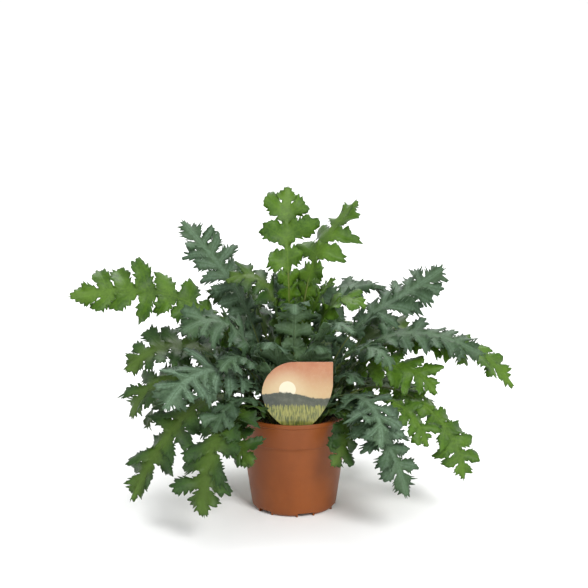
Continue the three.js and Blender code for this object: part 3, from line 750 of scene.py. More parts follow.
def midrib(frond):
    """Points and triangles of the stalk and midrib, from the sunk foot almost to the tip."""
    a = np.arange(-STALK_SUNK, frond.length * RIB_SHARE, RIB_STEP)
    share = np.clip((a - frond.stalk) / frond.blade, 0, 1)
    radius = STALK_RADIUS * (1 - share) + RIB_END * share
    around = np.linspace(0, 2 * math.pi, RIB_SIDES, endpoint=False)
    b = radius[:, None] * np.cos(around)
    h = radius[:, None] * (0.75 * np.sin(around) - 0.25 * np.minimum(1, share[:, None] * 20))
    points = frond.at(np.repeat(a, RIB_SIDES), b.ravel(), h.ravel())
    return points, tube_triangles(len(a), RIB_SIDES), np.repeat(1 - 0.8 * soft(share, 0, 0.1), RIB_SIDES)


def ring_skin(rings, sides):
    """Triangles between rings of points that follow one another, without the ends."""
    ring, k = np.divmod(np.arange((rings - 1) * sides), sides)
    a, b = ring * sides + k, ring * sides + (k + 1) % sides
    return np.r_[np.c_[a, b, b + sides], np.c_[a, b + sides, a + sides]]


def tube_triangles(rings, sides):
    """Triangles of a closed tube whose rings run round it from first to last."""
    fan = np.arange(1, sides - 1)
    last = (rings - 1) * sides
    ends = [np.c_[0 * fan, fan + 1, fan], np.c_[0 * fan + last, last + fan, last + fan + 1]]
    return np.concatenate([ring_skin(rings, sides), *ends])


# %% Make every frond
BLADE_HALF = 0.4
EDGE_HALF = 0.16
BOX_LOW, BOX_HIGH = (np.array(end) / MM for end in CAD_BOX)
WAX_LEAST, WAX_SPREAD = 0.45, (0.8, 1.15)
BLUE_FROM, GREEN_FROM = 0.75, 0.35


def blade_skin(frond):
    """A frond's blade as points, triangles and what its finish reads."""
    end = frond.blade * LOBED_SHARE
    half = END_HALF * envelope(frond, LOBED_SHARE)
    end_lobe = Lobe(frond, 30, -1, end, 0, frond.blade - end, half)
    left_lobes, left = side_outline(frond, 0, end_lobe)
    right_lobes, right = side_outline(frond, 1, end_lobe)
    tip = [[frond.blade, 0]]
    outline = np.r_[left, tip, (right * [1, -1])[::-1]][::-1]
    flat, triangles, away = flat_blade(outline)
    a, b = flat.T
    a2, b2, h = a.copy(), b.copy(), 0 * a
    owner = np.zeros(len(a), int)
    for hand, lobes in enumerate((left_lobes, right_lobes)):
        mine = b >= 0 if hand == 0 else b < 0
        a2[mine], across, h[mine], owner[mine] = shaped(frond, lobes, end_lobe, a[mine], np.abs(b[mine]))
        b2[mine] = across * (1 if hand == 0 else -1)
    middle = frond.at(frond.stalk + a2, b2, h)

    corners = middle[triangles]
    face = np.cross(corners[:, 1] - corners[:, 0], corners[:, 2] - corners[:, 0])
    normal = np.stack([np.bincount(triangles.ravel(), np.repeat(face[:, k], 3), len(middle))
                       for k in range(3)], 1)
    normal = unit(normal + 1e-12)
    thick = EDGE_HALF + (BLADE_HALF - EDGE_HALF) * soft(away, 0, 4)
    count = len(middle)
    i, j = rim_edges(triangles).T
    edge = np.r_[np.c_[j, i, i + count], np.c_[j, i + count, j + count]]
    skin = np.r_[triangles, triangles[:, ::-1] + count, edge]
    points = np.r_[middle + normal * thick[:, None], middle - normal * thick[:, None]]
    edge_faces = np.arange(len(skin)) >= 2 * len(triangles)
    return points, skin, edge_faces, flat, away, (left_lobes, right_lobes, end_lobe), owner


def lobe_map(frond, flat, triangles, lobes, owner):
    """For each corner of each triangle, centimetres along and across the lobe that owns it."""
    left, right, end_lobe = lobes
    centre = flat[triangles].mean(1)
    first = owner[triangles[:, 0]]
    result = np.zeros((len(triangles), 3, 2))
    for hand, group in enumerate((left, right)):
        for number, lobe in enumerate([*group, end_lobe]):
            mine = (first == number) & ((centre[:, 1] >= 0) == (hand == 0))
            corner = flat[triangles[mine]]
            x, y = lobe.own(corner[..., 0], np.abs(corner[..., 1]))
            result[mine] = np.stack([x * lobe.length, y * lobe.half], -1) / 10
    return result


def leaf_slot(bloom):
    """The leaf finish of a frond: waxy blue, green or young."""
    if bloom >= BLUE_FROM:
        return "leaf_blue"
    return "leaf_green" if bloom >= GREEN_FROM else "leaf_young"


def make_frond(frond):
    """Makes a frond's piece with what its finish reads, and returns its number of triangles."""
    points, skin, edge_faces, flat, away, lobes, owner = blade_skin(frond)
    rib_points, rib_triangles, stalk = midrib(frond)
    count, blade_points = len(flat), len(points)
    slot = leaf_slot(frond.bloom)
    all_triangles = np.r_[skin, rib_triangles + blade_points]
    flat_faces = np.r_[edge_faces, np.zeros(len(rib_triangles), bool)]
    all_points = np.clip(np.r_[points, rib_points], BOX_LOW, BOX_HIGH)
    piece = make_piece(f"leaf_{frond.name}", all_points, all_triangles,
                       LEAVES[slot], f"frond_{frond.name}", flat_faces)
    rib_count = len(rib_points)
    point_value(piece, "stalk", np.r_[np.zeros(blade_points), stalk])
    point_value(piece, "under", np.r_[np.zeros(count), np.ones(count), np.zeros(rib_count)])
    margin = np.clip(away / 6, 0, 1)
    point_value(piece, "margin", np.r_[margin, margin, np.ones(rib_count)])
    tone = spread(frond.seed, 77, 0, 0.5) + 0.5 * soft(flat[:, 0] / frond.blade, 0.5, 1)
    point_value(piece, "tone", np.r_[tone, tone, np.full(rib_count, 0.6)])
    wax = (WAX_LEAST + frond.bloom ** 4) * spread(frond.seed, 78, *WAX_SPREAD)
    point_value(piece, "wax", np.full(len(all_points), wax))

    twice = np.r_[flat, flat]
    lobe_uv = np.zeros((len(all_triangles), 3, 2))
    blade_uv = np.zeros_like(lobe_uv)
    lobe_uv[:len(skin)] = lobe_map(frond, twice, skin, lobes, np.r_[owner, owner])
    blade_uv[:len(skin)] = twice[skin] / [frond.blade, frond.half]
    for name, values in (("blade", blade_uv), ("lobe", lobe_uv)):
        layer = piece.data.uv_layers.new(name=name)
        layer.data.foreach_set("uv", values.astype(np.float32).ravel())
    return len(all_triangles)


faces = [make_frond(frond) for frond in fronds]
print(len(faces), "fronds with", sum(faces), "triangles, at most", max(faces), "in one")

# %% [markdown]
# ## The pot
#
# A thin-walled pot of terracotta-coloured plastic, moulded in one piece: a tapered wall, a collar
# that steps out so that pots can be unstacked, a rolled lip and low drain channels under the
# base. A lathe profile spun round the axis gives all the round forms, with enough points at the
# step, the lip and the foot to catch the light softly. The channels and holes are cut with
# Boolean modifiers, which are applied, because they aren't round.

# %% Plastic for the pot
def pot_material():
    material, recipe, shader = new_material("pot_plastic", IOR=1.47, Specular_IOR_Level=0.36)
    place = recipe.add("ShaderNodeTexCoord").outputs["Object"]
    parts = recipe.add("ShaderNodeSeparateXYZ", {0: place}).outputs
    cloud = placed(recipe, MOTTLE, {"Vector": place, "Scale": 14.0, "Fine Share": 0.25,
                                    "Low": 0.38, "High": 0.64})
    dust = placed(recipe, MOTTLE, {"Vector": place, "Scale": 90.0, "Fine Share": 0.6,
                                   "Low": 0.5, "High": 0.75})
    body = recipe.mix(cloud["Mask"], colour(117, 59, 17), colour(128, 67, 22))
    low = recipe.ramp(parts["Z"], 0.0, 0.035, 0.55, 0.0)
    body = recipe.mix(recipe.maths("MULTIPLY", low, dust["Mask"]), body, colour(112, 74, 46))
    body = recipe.mix(recipe.maths("MULTIPLY", dust["Mask"], 0.12), body, colour(142, 88, 50))
    gloss = recipe.maths("ADD", 0.42, recipe.maths("MULTIPLY", dust["Mask"], 0.16))
    height = recipe.maths("ADD", recipe.maths("MULTIPLY", cloud["Mask"], 0.3), dust["Fine"])
    bump = recipe.add("ShaderNodeBump", {"Height": height, "Strength": 0.12, "Distance": 0.0003})
    recipe.fill(shader, {"Base Color": body, "Roughness": gloss, "Normal": bump.outputs[0]})
    return material


# %% Lathe helper and the pot's profile
POT_HEIGHT = 106
RIM_RADIUS = 60
FOOT_RADIUS = 45.5
WALL = 1.4
COLLAR_LOW = 79
COLLAR_STEP = 1.4
COLLAR_FLARE = 2.1
LIP_HEIGHT = 5
LIP_OUT = 0.9
CORNER_RADIUS = 6
BASE = 1.6
LATHE_SIDES = 160


def lathe(profile, sides):
    """A closed body spun from (radius, height) pairs that start and end on the axis."""
    inner = np.array(profile[1:-1])
    around = np.linspace(0, 2 * math.pi, sides, endpoint=False)
    rings = len(inner)
    points = np.stack([inner[:, :1] * np.cos(around), inner[:, :1] * np.sin(around),
                       np.repeat(inner[:, 1:], sides, axis=1)], -1).reshape(-1, 3)
    points = np.r_[points, [(0, 0, profile[0][1]), (0, 0, profile[-1][1])]]
    k = np.arange(sides)
    n = (k + 1) % sides
    last, low, high = (rings - 1) * sides, rings * sides, rings * sides + 1
    caps = [np.c_[0 * k + low, n, k], np.c_[0 * k + high, last + k, last + n]]
    return points, np.concatenate([ring_skin(rings, sides), *caps])


def wall_radius(z):
    top = RIM_RADIUS - COLLAR_STEP - COLLAR_FLARE
    return FOOT_RADIUS + (top - FOOT_RADIUS) * z / COLLAR_LOW


def corner(centre, radius, start, end, steps):
    """Points of an arc in the profile, angles in degrees."""
    angles = np.radians(np.linspace(start, end, steps))
    return [(centre[0] + radius * math.cos(t), centre[1] + radius * math.sin(t)) for t in angles]


def pot_profile():
    foot = wall_radius(CORNER_RADIUS) - 0.2
    collar = wall_radius(COLLAR_LOW)
    lip = POT_HEIGHT - LIP_HEIGHT
    outside = [(0, 0), (foot - CORNER_RADIUS, 0)]
    outside += corner((foot - CORNER_RADIUS, CORNER_RADIUS), CORNER_RADIUS, -80, -5, 8)
    outside += [(wall_radius(z), z) for z in (14, 30, 46, 62, 74)]
    outside += [(collar, COLLAR_LOW - 0.6), (collar + 0.3, COLLAR_LOW - 0.1)]
    outside += corner((collar + COLLAR_STEP - 0.5, COLLAR_LOW + 0.6), 0.5, -90, 0, 4)
    outside += [(RIM_RADIUS - LIP_OUT - 0.1, lip - 1), (RIM_RADIUS - LIP_OUT, lip)]
    outside += corner((RIM_RADIUS - 0.6, lip + 1), 0.6, -80, 0, 5)
    outside += corner((RIM_RADIUS - 0.75, POT_HEIGHT - 0.7), 0.7, 0, 90, 5)
    inside_edge = RIM_RADIUS - WALL - LIP_OUT
    inner = corner((inside_edge + 0.6, POT_HEIGHT - 0.6), 0.6, 90, 180, 4)
    inner += [(wall_radius(z) - WALL, z) for z in (COLLAR_LOW, 60, 40, 20, 12)]
    inner += corner((wall_radius(8) - WALL - 5, 5 + BASE), 5, 0, -90, 5)
    return outside + inner + [(0, BASE)]


# %% Make the pot
CHANNEL_COUNT = 6
CHANNEL_WIDTH = 17
CHANNEL_HEIGHT = 4
CHANNEL_START = 27
CHANNEL_TURN = 286
DRAIN_CENTRE = 35
DRAIN_RADIUS = 5
CHANNEL_PAST = 10
BLOCK_INSET, BLOCK_LOW = 1.2, 0.2
SHARP_ANGLE = math.radians(32)


def cutter(name, points, triangles):
    mesh = bpy.data.meshes.new(name)
    mesh.from_pydata((np.asarray(points) * MM).tolist(), [], np.asarray(triangles).tolist())
    return linked(name, mesh)


def turned_block(grow, turn):
    """A box along a drain channel: the channel itself when grow is 0, else the wall round it."""
    start = CHANNEL_START - grow
    end = FOOT_RADIUS + (CHANNEL_PAST if grow == 0 else -BLOCK_INSET)
    half, height = CHANNEL_WIDTH / 2 + grow, CHANNEL_HEIGHT + grow
    low = -height if grow == 0 else BLOCK_LOW
    c, s = math.cos(turn), math.sin(turn)
    corners = [(x * c - y * s, x * s + y * c, z) for z in (low, height)
               for x, y in ((start, -half), (end, -half), (end, half), (start, half))]
    return corners, [(0, 3, 2, 1), (4, 5, 6, 7), (0, 1, 5, 4), (1, 2, 6, 5), (2, 3, 7, 6), (3, 0, 4, 7)]


def apply_boolean(piece, other, operation):
    step = piece.modifiers.new(operation.lower(), "BOOLEAN")
    step.operation, step.object, step.solver = operation, other, "MANIFOLD"
    bpy.context.view_layer.update()
    evaluated = piece.evaluated_get(bpy.context.evaluated_depsgraph_get())
    piece.data = bpy.data.meshes.new_from_object(evaluated)
    piece.modifiers.clear()
    bpy.data.objects.remove(other)


points, triangles = lathe(pot_profile(), LATHE_SIDES)
pot = make_piece("nursery_pot", points, triangles, pot_material(), "pot")
for number in range(CHANNEL_COUNT):
    turn = math.radians(CHANNEL_TURN + number * 360 / CHANNEL_COUNT)
    apply_boolean(pot, cutter("block", *turned_block(WALL, turn)), "UNION")
for number in range(CHANNEL_COUNT):
    turn = math.radians(CHANNEL_TURN + number * 360 / CHANNEL_COUNT)
    apply_boolean(pot, cutter("channel", *turned_block(0, turn)), "DIFFERENCE")
    hole, faces_of_hole = lathe([(0, -5), (DRAIN_RADIUS, -5), (DRAIN_RADIUS, 15), (0, 15)], 24)
    hole = hole + [DRAIN_CENTRE * math.cos(turn), DRAIN_CENTRE * math.sin(turn), 0]
    apply_boolean(pot, cutter("drain", hole, faces_of_hole), "DIFFERENCE")
pot.data.shade_smooth()
pot.data.set_sharp_from_angle(angle=SHARP_ANGLE)
print("Pot with", len(pot.data.polygons), "faces and", CHANNEL_COUNT, "drain channels")

# %% [markdown]
# ## The soil
#
# Peaty potting mix, dark and crumbly, fills the pot to just below the lip. One rough surface
# would do where leaves hide it, but from above and behind the crumbs show, so loose crumbs of
# bark and a few pale grains of perlite lie on it as small bodies of their own.

# %% Soil material
def soil_material():
    material, recipe, shader = new_material("potting_soil", IOR=1.4, Specular_IOR_Level=0.3)
    place = recipe.add("ShaderNodeTexCoord").outputs["Object"]
    pale = recipe.add("ShaderNodeAttribute", attribute_name="pale").outputs["Fac"]
    clump = placed(recipe, MOTTLE, {"Vector": place, "Scale": 160.0, "Fine Share": 0.4,
                                    "Low": 0.35, "High": 0.68})
    grain = placed(recipe, MOTTLE, {"Vector": place, "Scale": 620.0, "Fine Share": 0.5,
                                    "Low": 0.4, "High": 0.6})
    earth = recipe.mix(clump["Mask"], colour(34, 25, 19), colour(74, 54, 38))
    earth = recipe.mix(recipe.maths("MULTIPLY", grain["Mask"], 0.35), earth, colour(96, 72, 50))
    earth = recipe.mix(pale, earth, colour(206, 200, 188))
    rough = recipe.ramp(grain["Mask"], 0.0, 1.0, 0.8, 0.97)
    height = recipe.maths("ADD", clump["Mask"], grain["Fine"])
    bump = recipe.add("ShaderNodeBump", {"Height": height, "Strength": 0.6, "Distance": 0.001})
    recipe.fill(shader, {"Base Color": earth, "Roughness": rough, "Normal": bump.outputs[0]})
    return material


# %% Make the soil and its crumbs
SOIL_CROWN = 2
CLEAR = 0.3
SOIL_SIDES = 110
CRUMBS = 620
CRUMB_REACH, CRUMB_SIZES, CRUMB_SUNK = 54, (0.6, 2.1), 0.6
CROWN_EDGE = 50
PERLITE_SHARE = 0.07


def lump(centre, radius, draw):
    """A small uneven stone with eight faces."""
    corners = np.array([(1, 0, 0), (0, 1, 0), (-1, 0, 0), (0, -1, 0), (0, 0, 1), (0, 0, -1)], float)
    corners = corners * draw.uniform(0.6, 1.25, (6, 1)) + draw.normal(0, 0.16, (6, 3))
    sides = [(0, 1, 4), (1, 2, 4), (2, 3, 4), (3, 0, 4), (1, 0, 5), (2, 1, 5), (3, 2, 5), (0, 3, 5)]
    return corners * radius + centre, np.array(sides)


def soil_body(draw):
    top = wall_radius(COLLAR_LOW) - WALL - CLEAR + 0.4
    rings = [(r, SOIL_TOP - SOIL_CROWN * soft(r, top - 9, top)) for r in np.linspace(top, 2, 34)]
    wall = [(wall_radius(z) - WALL - CLEAR, z) for z in (10, 30, 50, 70, COLLAR_LOW)]
    profile = [(0, 7), (wall_radius(7) - WALL - 4, 7), *wall, *rings, (0, SOIL_TOP)]
    points, triangles = lathe(profile, SOIL_SIDES)
    radius = np.hypot(points[:, 0], points[:, 1])
    rough = np.zeros(len(points))
    for _ in range(26):
        wave = draw.normal(0, 0.35, 2)
        rough += np.sin(points[:, :2] @ wave + draw.uniform(0, 6.3)) * 0.16
    rough += draw.normal(0, 0.28, len(points))
    points[:, 2] += np.where((points[:, 2] > COLLAR_LOW + 5) & (radius < top - 1), rough - 0.5, 0)
    return points, triangles


def make_soil():
    draw = np.random.default_rng(11)
    points, triangles = soil_body(draw)
    all_points, all_triangles, pale = [points], [triangles], [np.zeros(len(points))]
    count = len(points)
    for _ in range(CRUMBS):
        r, turn = CRUMB_REACH * math.sqrt(draw.uniform()), draw.uniform(0, 2 * math.pi)
        size = draw.uniform(*CRUMB_SIZES)
        level = SOIL_TOP - CRUMB_SUNK - SOIL_CROWN * (r > CROWN_EDGE)
        centre = (r * math.cos(turn), r * math.sin(turn), level)
        corners, sides = lump(centre, size, draw)
        all_points.append(corners)
        all_triangles.append(sides + count)
        pale.append(np.full(6, float(draw.uniform() < PERLITE_SHARE)))
        count += 6
    soil = make_piece("potting_soil", np.concatenate(all_points), np.concatenate(all_triangles),
                      soil_material(), "soil")
    point_value(soil, "pale", np.concatenate(pale))
    return soil


soil = make_soil()
print("Soil with", CRUMBS, "crumbs on it")

# %% [markdown]
# ## The rhizomes
#
# The fern creeps on thick rhizomes that lie half in the soil, clothed in narrow golden-brown
# scales. Hair particles would make them furry, but aren't kept when the model leaves Blender, so
# each scale is a tiny pointed blade set on the rhizome and laid back along it.

# %% Rhizome material
def rhizome_material():
    material, recipe, shader = new_material("rhizome_skin", IOR=1.4, Sheen_Weight=0.15)
    place = recipe.add("ShaderNodeTexCoord").outputs["Object"]
    tuft = recipe.add("ShaderNodeAttribute", attribute_name="tuft").outputs["Fac"]
    patch = placed(recipe, MOTTLE, {"Vector": place, "Scale": 210.0, "Fine Share": 0.4,
                                    "Low": 0.36, "High": 0.64})
    fibre = placed(recipe, MOTTLE, {"Vector": place, "Scale": 700.0, "Fine Share": 0.4,
                                    "Low": 0.4, "High": 0.62})
    bark = recipe.mix(patch["Mask"], colour(74, 46, 22), colour(118, 78, 36))
    scales = recipe.mix(fibre["Mask"], colour(150, 98, 42), colour(196, 140, 70))
    rough = recipe.ramp(fibre["Mask"], 0.0, 1.0, 0.65, 0.9)
    bump = recipe.add("ShaderNodeBump", {"Height": fibre["Fine"], "Strength": 0.5, "Distance": 0.0005})
    recipe.fill(shader, {"Base Color": recipe.mix(tuft, bark, scales), "Roughness": rough,
                         "Normal": bump.outputs[0]})
    return material


# %% Make the rhizomes
RHIZOMES = [(300, 352, 46, 1.5, 4.2), (40, 105, 45, -2, 4.4), (168, 226, 45, 2, 4)]
RHIZOME_RINGS = 44
RHIZOME_SIDES = 18
SCALES = 420
SCALE_LONG, SCALE_WIDE, SCALE_LIFT = (2.2, 4.2), (0.06, 0.13), (0.25, 0.9)


def rhizome(plan, draw):
    """Points, triangles and scale values of one rhizome: start, end, radius, wander, thickness."""
    start, end, radius, wander, thick = plan

    def place(t, around, lift):
        turn = np.radians(start + (end - start) * t)
        swell = 0.3 + 0.7 * np.sqrt(np.maximum(0, 1 - (2 * t - 1) ** 4))
        knobs = 1 + 0.1 * np.sin(t * 9) + 0.05 * np.sin(t * 41 + around * 2)
        girth = thick * swell * knobs + lift
        r = radius + wander * np.sin(2 * math.pi * t) + girth * np.cos(around)
        return np.stack([r * np.cos(turn), r * np.sin(turn),
                         SOIL_TOP + thick * 0.2 + girth * np.sin(around)], -1)

    t, k = np.divmod(np.arange(RHIZOME_RINGS * RHIZOME_SIDES), RHIZOME_SIDES)
    points = place(t / (RHIZOME_RINGS - 1), -2 * math.pi * k / RHIZOME_SIDES, 0)
    parts, triangles, tuft = [points], [tube_triangles(RHIZOME_RINGS, RHIZOME_SIDES)], [0 * t]
    length = math.radians(end - start) * radius
    count = len(points)
    for _ in range(SCALES):
        t0, around = draw.uniform(0.02, 0.98), draw.uniform(-0.6, math.pi + 0.6)
        long, wide = draw.uniform(*SCALE_LONG) / length, draw.uniform(*SCALE_WIDE)
        lift = draw.uniform(*SCALE_LIFT)
        blade = [place(t0, around - wide, 0.05), place(t0, around + wide, 0.05),
                 place(t0, around, 0.28), place(min(1.0, t0 + long), around + wide * draw.normal(), lift)]
        parts.append(np.array(blade))
        triangles.append(np.array([(0, 2, 1), (0, 1, 3), (1, 2, 3), (2, 0, 3)]) + count)
        tuft.append(np.ones(4))
        count += 4
    return np.concatenate(parts), np.concatenate(triangles), np.concatenate(tuft)


RHIZOME_SKIN = rhizome_material()
for number, plan in enumerate(RHIZOMES):
    points, triangles, tuft = rhizome(plan, np.random.default_rng(21 + number))
    name = f"rhizome_{number + 1}"
    piece = make_piece(f"scaly_{name}", points, triangles, RHIZOME_SKIN, name)
    point_value(piece, "tuft", tuft)
print(len(RHIZOMES), "rhizomes with", SCALES, "scales each")

# %% [markdown]
# ## The plant tag
#
# A printed card of thin plastic on a stake, round on the left and square at its top right
# corner. Its picture here is a plain evening landscape of no one's own: a pale sun low over
# hills, and a meadow in front. An image texture would be the usual way, but this one is drawn by
# nodes from the card's own coordinates, so it stays sharp from near by.

# %% Print on the tag
TAG_Y = -50
TAG_LEFT, TAG_RIGHT, TAG_TOP, TAG_LOW = -33.5, 40.5, 172, 105
TAG_MIDDLE, TAG_STAKE, TAG_FOOT, TAG_CORNER = 3, 12, 58, 34
TAG_THICKNESS = 0.8
TAG_NECK, TAG_SHOULDER = 7, 26
TAG_RIGHT_HEEL, TAG_LEFT_HEEL = 0.48, 0.42
TAG_RIGHT_BEND, TAG_LEFT_BEND = (0.93, 18), (0.95, 14)


def tag_material():
    material, recipe, shader = new_material("tag_print", IOR=1.5, Coat_Weight=0.35, Coat_Roughness=0.25)
    place = recipe.add("ShaderNodeTexCoord").outputs["Object"]
    parts = recipe.add("ShaderNodeSeparateXYZ", {0: place}).outputs
    width, height = (TAG_RIGHT - TAG_LEFT) * MM, (TAG_TOP - TAG_LOW) * MM
    u = recipe.along(parts["X"], TAG_LEFT * MM, TAG_RIGHT * MM)
    v = recipe.along(parts["Z"], TAG_LOW * MM, TAG_TOP * MM)
    cloud = placed(recipe, MOTTLE, {"Vector": place, "Scale": 28.0, "Fine Share": 0.2,
                                    "Low": 0.3, "High": 0.7})
    sky = recipe.mix(recipe.ramp(v, 0.42, 0.98), colour(180, 158, 116), colour(150, 82, 50))
    sky = recipe.mix(recipe.maths("MULTIPLY", cloud["Mask"], 0.45), sky, colour(178, 134, 92))
    across = recipe.maths("MULTIPLY", recipe.maths("SUBTRACT", u, 0.36), width / height)
    sun = recipe.maths("POWER", recipe.maths("ADD", recipe.maths("POWER", across, 2.0),
                       recipe.maths("POWER", recipe.maths("SUBTRACT", v, 0.56), 2.0)), 0.5)
    sky = recipe.mix(recipe.ramp(sun, 0.1, 0.42, 0.6, 0.0), sky, colour(190, 172, 136))
    sky = recipe.mix(recipe.ramp(sun, 0.125, 0.135, 1.0, 0.0), sky, colour(205, 196, 170))
    swell = recipe.maths("MULTIPLY", recipe.maths("SINE", recipe.maths("MULTIPLY", u, 5.5)), 0.05)
    rough_edge = recipe.maths("MULTIPLY", recipe.noise(place, 190.0, 4.0), 0.09)
    ridge = recipe.maths("ADD", recipe.maths("ADD", swell, 0.42), rough_edge)
    hills = recipe.ramp(recipe.maths("SUBTRACT", v, ridge), -0.012, 0.012, 1.0, 0.0)
    picture = recipe.mix(hills, sky, recipe.mix(cloud["Mask"], colour(36, 44, 36), colour(66, 70, 52)))
    stretched = recipe.add("ShaderNodeMapping", {"Vector": place, "Scale": (620.0, 1.0, 90.0)}).outputs[0]
    blades = recipe.noise(stretched, 1.0, 3.0, 0.6, 0.6)
    meadow_top = recipe.maths("ADD", 0.2, recipe.maths("MULTIPLY", blades, 0.2))
    meadow = recipe.ramp(recipe.maths("SUBTRACT", v, meadow_top), -0.02, 0.02, 1.0, 0.0)
    grass = recipe.mix(recipe.ramp(blades, 0.35, 0.62), colour(56, 70, 24), colour(136, 134, 60))
    picture = recipe.mix(meadow, picture, grass)
    stake = recipe.ramp(parts["Z"], (TAG_LOW - TAG_NECK - 2) * MM, (TAG_LOW - TAG_NECK) * MM, 1.0, 0.0)
    picture = recipe.mix(stake, picture, colour(206, 204, 194))
    back = recipe.add("ShaderNodeAttribute", attribute_name="printed").outputs["Fac"]
    picture = recipe.mix(back, colour(210, 208, 200), picture)
    scuff = placed(recipe, MOTTLE, {"Vector": place, "Scale": 240.0, "Fine Share": 0.5,
                                    "Low": 0.45, "High": 0.7})
    picture = recipe.mix(recipe.maths("MULTIPLY", scuff["Mask"], 0.06), picture, colour(226, 222, 210))
    rough = recipe.ramp(scuff["Mask"], 0.0, 1.0, 0.32, 0.5)
    bump = recipe.add("ShaderNodeBump", {"Height": scuff["Fine"], "Strength": 0.05, "Distance": 0.0002})
    recipe.fill(shader, {"Base Color": picture, "Roughness": rough, "Normal": bump.outputs[0]})
    return material


# %% Make the tag
BEVEL = 0.16


def bend(start, control, end, steps=10):
    t = np.linspace(0, 1, steps + 1)[1:, None]
    start, control, end = map(np.array, (start, control, end))
    return (1 - t) ** 2 * start + 2 * t * (1 - t) * control + t * t * end


def tag_outline():
    """The card and its stake, from the foot round to the right and back, as (x, z)."""
    half, neck = TAG_STAKE / 2, TAG_LOW - TAG_NECK
    right_heel, left_heel = (TAG_RIGHT * TAG_RIGHT_HEEL, TAG_LOW), (TAG_LEFT * TAG_LEFT_HEEL, TAG_LOW)
    right_bend = (TAG_RIGHT * TAG_RIGHT_BEND[0], TAG_LOW + TAG_RIGHT_BEND[1])
    left_bend = (TAG_LEFT * TAG_LEFT_BEND[0], TAG_LOW + TAG_LEFT_BEND[1])
    right_shoulder, left_side = (TAG_RIGHT, TAG_TOP - TAG_SHOULDER), (TAG_LEFT, TAG_TOP - TAG_CORNER)
    turn = np.radians(np.linspace(90, 180, 25))
    arc = np.c_[TAG_LEFT + TAG_CORNER + TAG_CORNER * np.cos(turn),
                TAG_TOP - TAG_CORNER + TAG_CORNER * np.sin(turn)]
    return np.concatenate([
        [(TAG_MIDDLE - half, TAG_FOOT), (TAG_MIDDLE + half, TAG_FOOT), (TAG_MIDDLE + half, neck), right_heel],
        bend(right_heel, right_bend, right_shoulder),
        [(TAG_RIGHT, TAG_TOP)],
        arc,
        bend(left_side, left_bend, left_heel),
        [(TAG_MIDDLE - half, neck)],
    ])


def make_tag():
    outline = tag_outline()
    count = len(outline)
    mesh = bpy.data.meshes.new("printed_tag")
    front, back = TAG_Y - TAG_THICKNESS / 2, TAG_Y + TAG_THICKNESS / 2
    points = [(x * MM, y * MM, z * MM) for y in (front, back) for x, z in outline]
    ring = [(k, (k + 1) % count) for k in range(count)]
    faces = [list(range(count)), list(range(2 * count - 1, count - 1, -1))]
    faces += [[b, a, a + count, b + count] for a, b in ring]
    mesh.from_pydata(points, [], faces)
    shape = bmesh.new()
    shape.from_mesh(mesh)
    rim = [e for e in shape.edges if abs(e.verts[0].co.y - e.verts[1].co.y) < 1e-6]
    bmesh.ops.bevel(shape, geom=rim, offset=BEVEL * MM, segments=2, profile=0.5, affect="EDGES")
    bmesh.ops.triangulate(shape, faces=shape.faces[:])
    shape.to_mesh(mesh)
    shape.free()
    tag = linked("printed_tag", mesh)
    printed = [1.0 if v.co.y < (TAG_Y + TAG_THICKNESS / 4) * MM else 0.0 for v in mesh.vertices]
    mesh.materials.append(tag_material())
    point_value(tag, "printed", printed)
    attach(tag, "root")
    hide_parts("plant_tag")
    return tag


tag = make_tag()
print("Tag", TAG_RIGHT - TAG_LEFT, "mm wide with", len(tag.data.polygons), "faces")

# %% [markdown]
# ## Floor and light
#
# The photograph has a plain white ground and soft light from above and in front. A floor that
# curves up into a low wall all round gives the same even ground from every side, and large area
# lights keep the shadows soft. One hard lamp would be quicker, but it would print sharp leaf
# shadows on the pot.

# %% Floor
def floor_material():
    material, recipe, shader = new_material("pale_floor", Specular_IOR_Level=0.2)
    place = recipe.add("ShaderNodeTexCoord").outputs["Object"]
    tone = placed(recipe, MOTTLE, {"Vector": place, "Scale": 3.0, "Fine Share": 0.2,
                                   "Low": 0.2, "High": 0.8})
    shade = recipe.mix(tone["Mask"], colour(240, 240, 238), colour(244, 244, 243))
    recipe.fill(shader, {"Base Color": shade, "Roughness": recipe.ramp(tone["Mask"], 0, 1, 0.75, 0.85)})
    return material


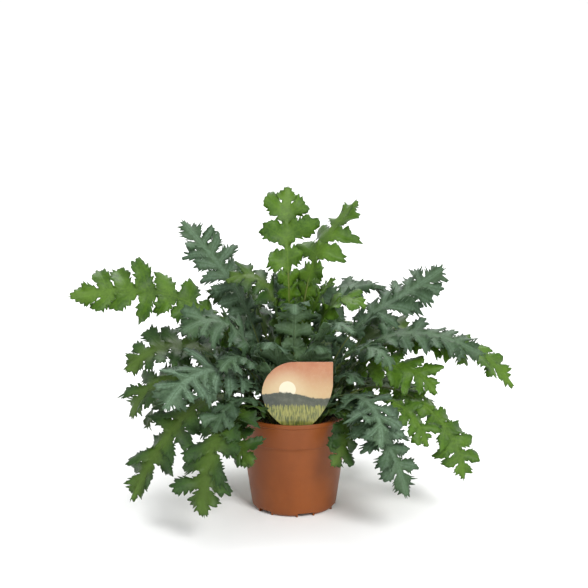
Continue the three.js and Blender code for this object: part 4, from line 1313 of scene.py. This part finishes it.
FLOOR_RADIUS = 4000
FLOOR_RING = 2000
FLOOR_SIDES = 96
WALL_HEIGHT = 2600
BEND_RADIUS = 1400
FLOOR_THICK = 20

sweep = corner((FLOOR_RADIUS, BEND_RADIUS), BEND_RADIUS, -90, 0, 18)
under = corner((FLOOR_RADIUS, BEND_RADIUS), BEND_RADIUS + FLOOR_THICK, 0, -90, 18)
top = [(FLOOR_RADIUS + BEND_RADIUS, WALL_HEIGHT), (FLOOR_RADIUS + BEND_RADIUS + FLOOR_THICK, WALL_HEIGHT)]
profile = [(0, 0), (FLOOR_RING, 0), *sweep, *top, *under, (FLOOR_RING, -FLOOR_THICK), (0, -FLOOR_THICK)]
points, triangles = lathe(profile, FLOOR_SIDES)
floor_mesh = bpy.data.meshes.new("floor")
floor_mesh.from_pydata((points * MM).tolist(), [], triangles[:, ::-1].tolist())
floor_mesh.shade_smooth()
floor_mesh.materials.append(floor_material())
floor = linked("floor", floor_mesh)
print("Floor", 2 * FLOOR_RADIUS * MM, "m across")

# %% Lights
LIGHTS = [
    ("key_light", (1.1, -1.9, 1.8), 1.2, 66),
    ("fill_light", (-0.9, -2.3, 1.1), 1.6, 8),
    ("back_light", (0.5, 1.9, 2.0), 1.6, 18),
    ("backdrop_light", (0, 2.6, 4.5), 3.0, 150),
]
AIM = (0, 0, 0.17)
WORLD_STRENGTH = 0.66

for name, place, size, power in LIGHTS:
    light_data = bpy.data.lights.new(name, "AREA")
    light_data.shape, light_data.size, light_data.energy = "DISK", size, power
    light = linked(name, light_data)
    light.location = place
    towards = [a - p for a, p in zip(AIM, place)]
    light.rotation_euler = Vector(towards).to_track_quat("-Z", "Y").to_euler()

world = bpy.data.worlds.new("studio")
world.use_nodes = True
world.node_tree.nodes["Background"].inputs["Color"].default_value = colour(246, 248, 252)
world.node_tree.nodes["Background"].inputs["Strength"].default_value = WORLD_STRENGTH
bpy.context.scene.world = world
bpy.context.scene.view_settings.view_transform = "Standard"
print(len(LIGHTS), "lights")
